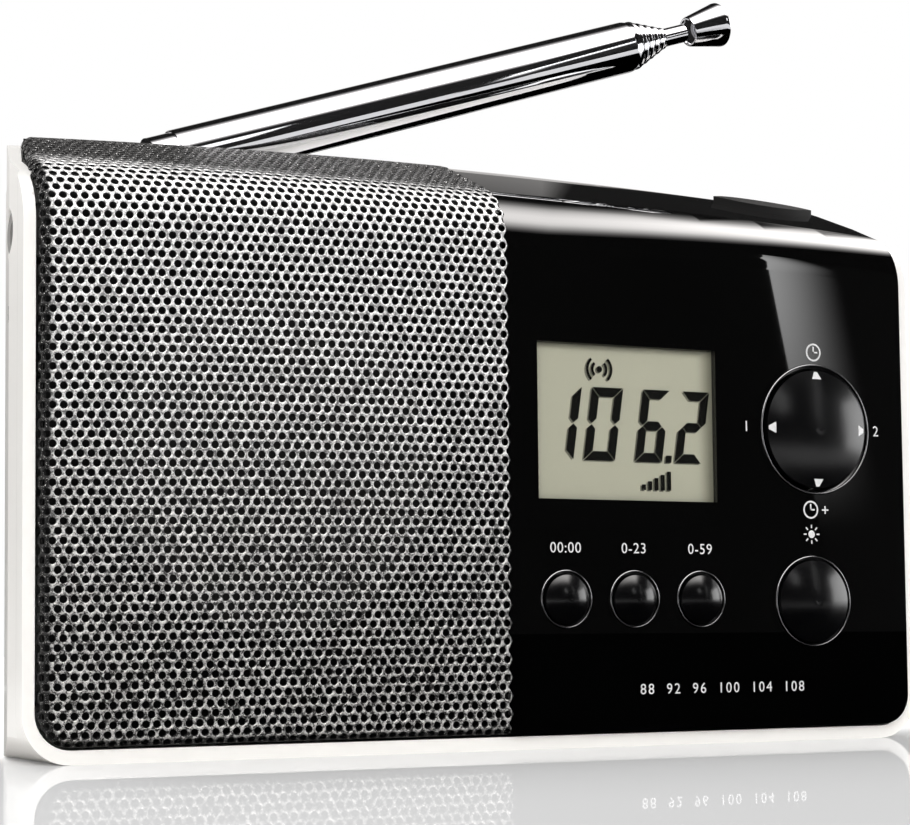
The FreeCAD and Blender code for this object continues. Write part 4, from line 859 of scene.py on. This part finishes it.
def clock_sign(name, x, z, front, setting):
    """A small clock face, with a plus beside it where it stands for setting."""
    pieces = [arc_band(name, (x, z), 1.05, 0.22, 90 * part, 90 * (part + 1), front, PRINT)
              for part in range(4)]
    pieces.append(rectangle(name, x - 0.1, z - 0.1, 0.2, 0.85, front, PRINT))
    pieces.append(rectangle(name, x - 0.1, z - 0.1, 0.72, 0.2, front, PRINT))
    if setting:
        pieces.append(rectangle(name, x + 1.75, z - 0.1, 1.0, 0.2, front, PRINT))
        pieces.append(rectangle(name, x + 2.15, z - 0.5, 0.2, 1.0, front - 0.001, PRINT))
    return pieces


def sun_sign(name, x, z, front):
    """A lamp sign: a disc with eight rays."""
    pieces = [disc(name, (x, z), 0.5, front, PRINT)]
    for step in range(8):
        angle = math.radians(45 * step)
        across = Vector((-math.sin(angle), math.cos(angle))) * 0.09
        near, far = (Vector((x + math.cos(angle) * reach, z + math.sin(angle) * reach))
                     for reach in (0.78, 1.22))
        pieces.append(plate(name, [near - across, far - across, far + across, near + across],
                            front, PRINT))
    return pieces


def middle_of(low, high):
    """The x and z of the middle between two corners, and half their distance in x."""
    return (low.x + high.x) / 2, (low.z + high.z) / 2, (high.x - low.x) / 2


def fascia_print(ink):
    """The marks beside the keys, and the row of dial numbers along the foot."""
    front = corners(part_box("front_fascia"))[0].y - PRINT
    name = "fascia_print"
    pieces = []
    for node, text, spread in (("button_set_time", "00:00", 1.08), ("button_hour", "0-23", 1.1),
                               ("button_minute", "0-59", 1.1)):
        low, high = corners(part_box(node))
        x, _, _ = middle_of(low, high)
        pieces.append(lettering(name, text, x, high.z + 2.35, 1.3, front, spread))
    low, high = corners(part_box("button_light"))
    x, _, _ = middle_of(low, high)
    pieces += sun_sign(name, x, high.z + 2.5, front)
    x, z, _ = middle_of(*corners(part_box("dpad_cap")))
    pieces += clock_sign(name, x, z + 10.0, front, False)
    pieces += clock_sign(name, x - 0.9, z - 10.4, front, True)
    pieces.append(lettering(name, "1", x - 10.6, z, 1.35, front))
    pieces.append(lettering(name, "2", x + 9.7, z, 1.35, front))
    pieces.append(lettering(name, "88  92  96  100  104  108", 29.5, 6.9, 1.3, front, 1.25))
    hand_in(join(name, pieces), ink, "case", "white_plastic")


def pad_marks(ink):
    """A white pointer near each edge of the four-way pad, following its dome."""
    x, z, radius = middle_of(*corners(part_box("dpad_cap")))
    pieces = []
    for step in range(4):
        angle = QUARTER * step
        out = Vector((math.cos(angle), math.sin(angle)))
        across = Vector((-out.y, out.x))
        tip, foot = (Vector((x, z)) + out * reach for reach in (radius * 0.93, radius * 0.76))
        pieces.append(plate("pad_marks", [tip, foot + across * 0.72, foot - across * 0.72],
                            -20, PRINT))
    marks = join("pad_marks", pieces)
    edit(marks)
    bpy.ops.mesh.subdivide(number_cuts=2)
    leave()
    lay_on(marks, frame["nodes"]["dpad_cap"])
    hand_in(marks, ink, "pad", "white_plastic")


def lay_on(marks, under, way=(0, 1, 0)):
    """Moves flat marks along a direction until they lie on the face of the piece under them."""
    way = Vector(way)
    places = points_of(marks)
    depths = places @ np.array(way)
    for row, depth in zip(places, depths):
        start = (Vector(row) - way * (depth + RAY_START)) * MM
        hit, place, _, _ = under.ray_cast(start, way)
        if hit:
            row[:] = place / MM + way * (depth - depths.min() - PRINT / 2)
    put_points(marks, places)


# ---- keys ----------------------------------------------------------------------------------------

def key_rings(finish):
    """The bright rings round the keys and the pad, rounded over at their rim."""
    rings = []
    low, high = corners(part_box("button_rings"))
    proud, root = low.y, high.y
    for node, gap in (("button_set_time", 0.15), ("button_hour", 0.15), ("button_minute", 0.15),
                      ("button_light", 0.15), ("dpad_cap", 0.38)):
        near, far = key_face(node)
        x, z = (near[0] + far[0]) / 2, (near[1] + far[1]) / 2
        inner = (far[0] - near[0]) / 2 + gap
        outer = inner + 0.45
        bead = 0.11
        rim = root - proud - bead
        rounded = bow((outer - bead, rim), bead, np.linspace(math.pi, 0, 9))
        outline = [(inner, 0), (inner, rim - 0.4), (outer - 2 * bead - 0.02, rim - 0.3)] + rounded
        outline += [(outer, 0), (inner, 0)]
        ring = turn("key_rings", outline, 72)
        rings.append(stand(ring, (x, root, z), (0, -1, 0)))
    hand_in(join("key_rings", rings), finish, "case", "bright_ring", "button_rings")


KEY_FACES = -14.3  # the flanges lie behind this


def key_face(node):
    """The lowest and highest x and z of a key's round face, which is narrower than its flange."""
    places = points_of(frame["nodes"][node])
    face = places[places[:, 1] < KEY_FACES]
    return face[:, (0, 2)].min(0), face[:, (0, 2)].max(0)


# ---- antenna -------------------------------------------------------------------------------------

REST = math.radians(18.1)
ALONG = (math.cos(REST), 0, math.sin(REST))
PIVOT = (-42.4, 9.0, 70.4)
WALL = 0.3
CAP_SMALLER = 0.4
CAP_SHIFT = 0.9
CAP_SHORTER = 1.5
CAP_RECESS = 0.28


def antenna_reach(node):
    """How far along the antenna a node starts and ends, and its radius."""
    places = points_of(frame["nodes"][node]) - np.array(PIVOT)
    along = places @ np.array(ALONG)
    across = np.linalg.norm(places - np.outer(along, ALONG), axis=1)
    return along.min(), along.max(), across.max()


def antenna_part(name, outline, start, body, node, finish, steps=64):
    """A part turned from its outline, set along the antenna in place of its node."""
    part = turn(name, outline, steps)
    stand(part, Vector(PIVOT) + Vector(ALONG) * start, ALONG)
    hand_in(part, finish, body, "antenna_chrome", node)


def antenna_tube(name, node, body, mouth, finish):
    """A drawn tube whose mouth is swaged in, as a short cone with a rolled rim."""
    start, end, radius = antenna_reach(node)
    length, bore, neck = end - start, radius - WALL, radius - WALL * 0.85
    outline = [(bore, 0), (radius - 0.12, 0), (radius, 0.12), (radius, length - mouth)]
    outline += [(neck + (radius - neck) * (0.5 + 0.5 * math.cos(math.pi * part)),
                 length - mouth + (mouth - 0.35) * part) for part in (0.25, 0.5, 0.75, 1.0)]
    outline += [(neck + 0.06, length - 0.25), (neck + 0.06, length - 0.08),
                (neck - 0.04, length), (bore, length), (bore, 0)]
    antenna_part(name, outline, start, body, node, finish)


def antenna(finish):
    """The five tubes, the rod inside them and its end cap."""
    for step in range(1, 6):
        antenna_tube("antenna_sleeve_%d" % step, "antenna_tube_%d" % step, "tube_%d" % step,
                     1.6 if step == 1 else 0.8, finish)
    start, end, radius = antenna_reach("antenna_rod")
    outline = [(0, 0), (radius - 0.1, 0), (radius, 0.1), (radius, end - start), (0, end - start)]
    antenna_part("antenna_core", outline, start, "rod", "antenna_rod", finish, 48)
    start, end, radius = antenna_reach("antenna_tip")
    length = end - start - CAP_SHORTER
    radius, start = radius - CAP_SMALLER, start + CAP_SHIFT
    outline = [(0, CAP_RECESS), (1.6, CAP_RECESS), (1.7, 0.05), (1.78, 0), (1.96, 0), (2.06, 0.12),
               (radius - 0.06, length - 0.6), (radius, length - 0.44), (radius, length - 0.12),
               (radius - 0.12, length), (radius - 0.3, length), (radius - 0.42, length - 0.12),
               (0, length - 0.12)]
    antenna_part("antenna_end_cap", outline, start, "rod", "antenna_tip", finish)


# ---- back and ends -------------------------------------------------------------------------------

def end_mark(name, pieces, ink, body, node, facing, x, y, z):
    """Joins flat pieces drawn round the origin, turns them by facing and lays them on a node."""
    mark = join(name, pieces)
    mark.rotation_euler = (0, 0, math.radians(facing))
    mark.location = Vector((x, y, z)) * MM
    apply_place(mark)
    way = Matrix.Rotation(math.radians(facing), 3, "Z") @ Vector((0, 1, 0))
    lay_on(mark, frame["nodes"][node], [round(part) for part in way])
    hand_in(mark, ink, body, "part_black")


def back_and_end_marks(ink):
    """A headphone sign on the left end, a rising wedge at the volume wheel and the door's arrow."""
    name = "headphone_sign"
    sign = [arc_band(name, (0, 0), 0.85, 0.2, 0, 180, 0, PRINT)]
    sign += [rectangle(name, x, -0.8, 0.42, 0.8, 0, PRINT) for x in (-1.1, 0.68)]
    end_mark(name, sign, ink, "case", "rear_shell", -90, -80, -4.5, 50.3)
    wedge = [plate("volume_wedge", [(-2, 0), (2, 0), (2, 1)], 0, PRINT)]
    end_mark("volume_wedge", wedge, ink, "case", "rear_shell", 90, 80, 2.0, 55.5)
    outline = [(-0.5, 3), (-0.5, -1), (-1.5, -1), (0, -3), (1.5, -1), (0.5, -1), (0.5, 3)]
    arrow = [plate("door_arrow", outline, 0, PRINT)]
    end_mark("door_arrow", arrow, ink, "door", "battery_door", 180, 17.8, 30, 30.0)


# ---- stage ---------------------------------------------------------------------------------------

TENT_CENTRE = (-10.0, 40.0)
TENT_RADIUS = 520.0
TENT_SPAN = 200.0
CARDS = -400.0
AIM = (0, 0, 35)
AMBIENT = 0.66
MIRROR = 0.4


def floor_material():
    """Pale floor that is lit a little more for the camera, and mirrors the radio close in front."""
    finish = Finish("floor", Roughness=0.9, IOR=1.0)
    x, y, _ = finish.axes()
    away = x.reckon("SQRT", x * x + y * y)
    cloud = finish.noise(60.0)
    finish.colour(cloud, (226, 226, 226), (229, 229, 229))
    seen = finish.node("ShaderNodeLightPath", output="Is Camera Ray")
    light = {"Color": WHITE, "Strength": seen * (0.2 + 0.35 * away.ramp(200, 800))}
    glow = finish.node("ShaderNodeEmission", inputs=light)
    lit = finish.node("ShaderNodeAddShader", inputs={0: finish.surface(), 1: glow})
    mirror = finish.node("ShaderNodeBsdfAnisotropic", inputs={"Color": WHITE, "Roughness": 0.015})
    near = (1 - away.ramp(120, 330)) * (1 - x.ramp(70, 110)) * (1 - y.ramp(-8, 14))
    finish.finish_with(finish.node("ShaderNodeMixShader",
                                   inputs={0: MIRROR * near, 1: lit, 2: mirror}))
    return finish.material


def floor():
    start_afresh()
    bpy.ops.mesh.primitive_plane_add(size=6.0, location=(0, 0, 0))
    ground = bpy.context.object
    ground.name = "floor"
    ground.data.materials.append(floor_material())


def tent_light(bands):
    """The tent's light, by how high it stands seen from the radio, in degrees from the front.

    Far to the right the bands stand higher.
    """
    finish = Finish("light tent", Roughness=1.0)
    x, y, z = finish.axes()
    height = z.reckon("ARCTAN2", z - TENT_CENTRE[1], TENT_CENTRE[0] - y) * (180 / math.pi)
    height = (height - 0.22 * (x - 282).at_least(0)) / TENT_SPAN
    finish.glow(finish.node("ShaderNodeValToRGB", {"stops": bands}, {"Fac": height}))
    return finish.material


def reflect_only(piece):
    """The piece shows only in reflections."""
    for kind in ("camera", "diffuse", "shadow", "transmission", "volume_scatter"):
        setattr(piece, "visible_" + kind, False)


def tent():
    """The studio's light tent: bands of light and dark that run over from the front to the back."""
    points = []
    for degrees in range(-6, 195, 4):
        angle = math.radians(degrees)
        points.append((-900, TENT_CENTRE[0] - TENT_RADIUS * math.cos(angle),
                       TENT_CENTRE[1] + TENT_RADIUS * math.sin(angle)))
    sheet = draw_line("light_tent", points)
    pick()
    pull(1800, 0, 0)
    leave()
    bands = [(degrees / TENT_SPAN, (level, level * 0.97, level * 0.95, 1)) for degrees, level in (
        (0, 0), (36, 0), (40, 0.5), (44, 1.6), (50, 4.2), (56, 6.6), (62, 7.4), (70, 7.0),
        (77, 5.6), (83, 4.2), (89, 2.6), (95, 1.1), (101, 0.37), (107, 0.04), (111, 0), (141, 0),
        (147, 0.6), (165, 0.7), (170, 0))]
    sheet.data.materials.append(tent_light(bands))
    reflect_only(sheet)


def card(name, outline, power, fade=None):
    """A lit card that only reflections show, drawn through its corners."""
    sheet = draw_line(name, outline, closed=True)
    leave()
    finish = Finish(name, Roughness=1.0)
    shade = fade(finish) if fade else finish.noise(200.0) * 0.1
    finish.glow(finish.blend(shade, (power, power, power, 1), BLACK))
    sheet.data.materials.append(finish.material)
    reflect_only(sheet)


def slanted_fade(finish):
    """Brightest along the card's left edge and towards its top, fading right and down."""
    x, _, z = finish.axes()
    edge = 338 - 0.225 * z + 0.54 * (z - 146).at_least(0)
    across = 1 - (x - edge).ramp(-6.0, 30.0)
    return 1 - across * z.ramp(48.0, 150.0)


def black_card(name, outline, facing):
    """A black card that only reflections show, and those only if they meet its facing side."""
    sheet = draw_line(name, outline, closed=True)
    leave()
    if sheet.data.polygons[0].normal.dot(Vector(facing)) < 0:
        edit(sheet)
        bpy.ops.mesh.flip_normals()
        leave()
    finish = Finish("black card", Roughness=1.0, Base_Color=BLACK, Specular_IOR_Level=0.0)
    behind = finish.node("ShaderNodeNewGeometry", output="Backfacing")
    clear = finish.node("ShaderNodeBsdfTransparent")
    finish.finish_with(finish.node("ShaderNodeMixShader",
                                   inputs={0: behind, 1: finish.surface(), 2: clear}))
    sheet.data.materials.append(finish.material)
    reflect_only(sheet)


def cards():
    """Cards for the fascia's slanted reflection, the pad's and the right-hand sides of round
    pieces, and black ones that keep the floor out of the fascia's foot and the antenna."""
    slanted = [(337, 0), (305, 146), (327, 224), (355, 310), (396, 400), (450, 400), (435, 310),
               (415, 224), (395, 146), (380, 0)]
    card("slanted_card", [(x, CARDS, z) for x, z in slanted], 3.4, slanted_fade)
    kerb = [(10, 0.4), (105, 0.4), (105, 14), (10, 14)]
    black_card("kerb_card", [(x, -55, z) for x, z in kerb], (0, 1, 0))
    under = [(-60, -150), (420, -150), (420, 400), (-60, 400)]
    black_card("under_card", [(x, y, 0.3) for x, y in under], (0, 0, 1))
    pad = [(92, 140), (92, 235), (150, 235), (150, 140)]
    card("pad_card", [(x, CARDS, z) for x, z in pad], 1.8)
    card("side_card", [(560, -380, 10), (560, -380, 230), (640, -60, 230), (640, -60, 10)], 5.0)


def lamp(name, place, size, power):
    """A soft light aimed at the middle of the radio, left out of reflections."""
    start_afresh()
    bpy.ops.object.light_add(type="AREA", location=Vector(place) * MM)
    light = bpy.context.object
    light.name = name
    light.data.size = size * MM
    light.data.energy = power
    light.rotation_mode = "QUATERNION"
    light.rotation_quaternion = (Vector(AIM) - Vector(place)).to_track_quat("-Z", "Y")
    light.visible_glossy = False


def daylight():
    """Even light all round, plain white where the camera or a reflection looks past the radio."""
    world = bpy.data.worlds.new("studio")
    bpy.context.scene.world = world
    world.use_nodes = True
    nodes, links = world.node_tree.nodes, world.node_tree.links
    path = nodes.new("ShaderNodeLightPath")
    plain = path.outputs["Is Camera Ray"]
    for kind in ("Is Glossy Ray", "Is Transmission Ray"):
        either = nodes.new("ShaderNodeMath")
        either.operation = "MAXIMUM"
        links.new(plain, either.inputs[0])
        links.new(path.outputs[kind], either.inputs[1])
        plain = either.outputs[0]
    strength = nodes.new("ShaderNodeMapRange")
    links.new(plain, strength.inputs["Value"])
    strength.inputs["To Min"].default_value = AMBIENT
    links.new(strength.outputs[0], nodes["Background"].inputs["Strength"])
    nodes["Background"].inputs["Color"].default_value = WHITE


CAMERA = (-126.663, -249.706, 12.726)
HEADING = 26.810
CLIMB = 4.0
ROLL = 0.567


def camera():
    """Low in front and to the left, looking slightly up."""
    heading, climb, roll = (math.radians(angle) for angle in (HEADING, CLIMB, ROLL))
    ahead = Vector((math.sin(heading) * math.cos(climb), math.cos(heading) * math.cos(climb),
                    math.sin(climb)))
    right = Vector((math.cos(heading), -math.sin(heading), 0))
    above = right.cross(ahead)
    tilted_right = right * math.cos(roll) - above * math.sin(roll)
    tilted_above = above * math.cos(roll) + right * math.sin(roll)
    turn_to = Matrix((tilted_right, tilted_above, -ahead)).transposed().to_4x4()
    start_afresh()
    bpy.ops.object.camera_add()
    eye = bpy.context.object
    eye.name = "camera"
    eye.matrix_world = Matrix.Translation(Vector(CAMERA) * MM) @ turn_to
    eye.data.lens = 88.236
    eye.data.sensor_width = 36
    eye.data.shift_y = 0.083
    eye.data.clip_start = 0.01
    bpy.context.scene.camera = eye


# ---- the radio -----------------------------------------------------------------------------------

def paint_nodes():
    """Gives every node the finish of its slot, or one of its own."""
    _, right, _, top, _ = window()
    seam = corners(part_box("speaker_grille"))[1].x
    slots = {"white_shell": white_shell(), "gloss_black": piano_black(seam),
             "grille_steel": grille_steel(corners(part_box("speaker_grille"))[0]),
             "clear_lens": clear_lens(),
             "lcd_panel": lcd_panel(right, top), "dark_rubber": striped_rubber(),
             "satin_black": satin_black(), "board_green": circuit_board(),
             "cone_paper": speaker_paper(), "copper_wire": wound_wire()}
    for slot, kind, name, shade, stain, *rest in (
            ("white_plastic", moulded, "white moulding", (226, 225, 220), (214, 212, 206), 0.45),
            ("part_black", moulded, "black moulding", (26, 26, 27), (38, 38, 39), 0.5),
            ("magnet_iron", moulded, "pressed ferrite", (64, 64, 66), (84, 84, 86), 0.6, 0.8),
            ("ferrite_black", moulded, "sintered ferrite", (48, 48, 50), (66, 65, 66), 0.65, 0.6),
            ("bright_ring", chrome, "bright ring", (150, 150, 152), (132, 132, 134), 0.2),
            ("antenna_chrome", chrome, "mirror chrome", (232, 232, 235), (218, 218, 222), 0.03),
            ("tinned_steel", plain_metal, "tinned steel", (196, 195, 190), (170, 169, 164), 0.3),
            ("can_aluminium", plain_metal, "drawn aluminium", (200, 201, 204),
             (184, 185, 190), 0.26),
            ("screw_steel", plain_metal, "zinc plating", (192, 192, 188), (168, 168, 160), 0.3),
            ("contact_nickel", plain_metal, "nickel plating", (210, 208, 200),
             (190, 187, 178), 0.2)):
        slots[slot] = kind(name, shade, stain, *rest)
    # Painted shade: the headphone socket is painted mid grey, the tone of the white shell's recess
    # in shade.
    own = {"headphone_socket": moulded("white moulding in painted shade", (150, 149, 146), (138, 137, 134), 0.5),
           "tuning_rocker": moulded("black rubber", (8, 8, 8), (14, 14, 14), 0.55, IOR=1.25)}
    for subpart in frame["record"]["subparts"]:
        node = frame["nodes"][subpart["node"]]
        if subpart["material_slot"] == "cell_wrap":
            finish = battery_sleeve(*corners(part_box(subpart["node"])))
        elif subpart["node"] in own:
            finish = own[subpart["node"]]
        else:
            finish = slots[subpart["material_slot"]]
        node.data.materials.clear()
        node.data.materials.append(finish)
    return slots


def radio():
    slots = paint_nodes()
    # Painted shade: the walls inside the grille's holes and its cut edges are painted near black.
    shaded_hole_edge = moulded("cut edges in painted shade", (6, 6, 6), (20, 20, 21), 0.7)
    speaker_grille(slots["grille_steel"], shaded_hole_edge)
    display_face(slots["lcd_panel"])
    segments = ink("display segments", (4, 4, 3), (12, 12, 10), 1.2, 1.0, Roughness=0.5, IOR=1.1)
    display_figures(segments, lcd_shade())
    white = ink("white print", (196, 196, 196), (226, 226, 226), 0.4, 2.0, Roughness=0.45)
    fascia_print(white)
    pad_marks(white)
    key_rings(slots["bright_ring"])
    antenna(slots["antenna_chrome"])
    back_and_end_marks(ink("dark print", (58, 58, 60), (78, 78, 80), 0.5, 2.0, Roughness=0.5))


def studio():
    floor()
    tent()
    cards()
    daylight()
    lamp("key_light", (-420, -620, 560), 420, 3.4)
    lamp("back_light", (0, 450, 700), 420, 2.6)
    lamp("fill_light", (620, -420, 320), 500, 0.8)
    camera()
    bpy.context.scene.view_settings.view_transform = "Standard"


radio()
studio()
start_afresh()
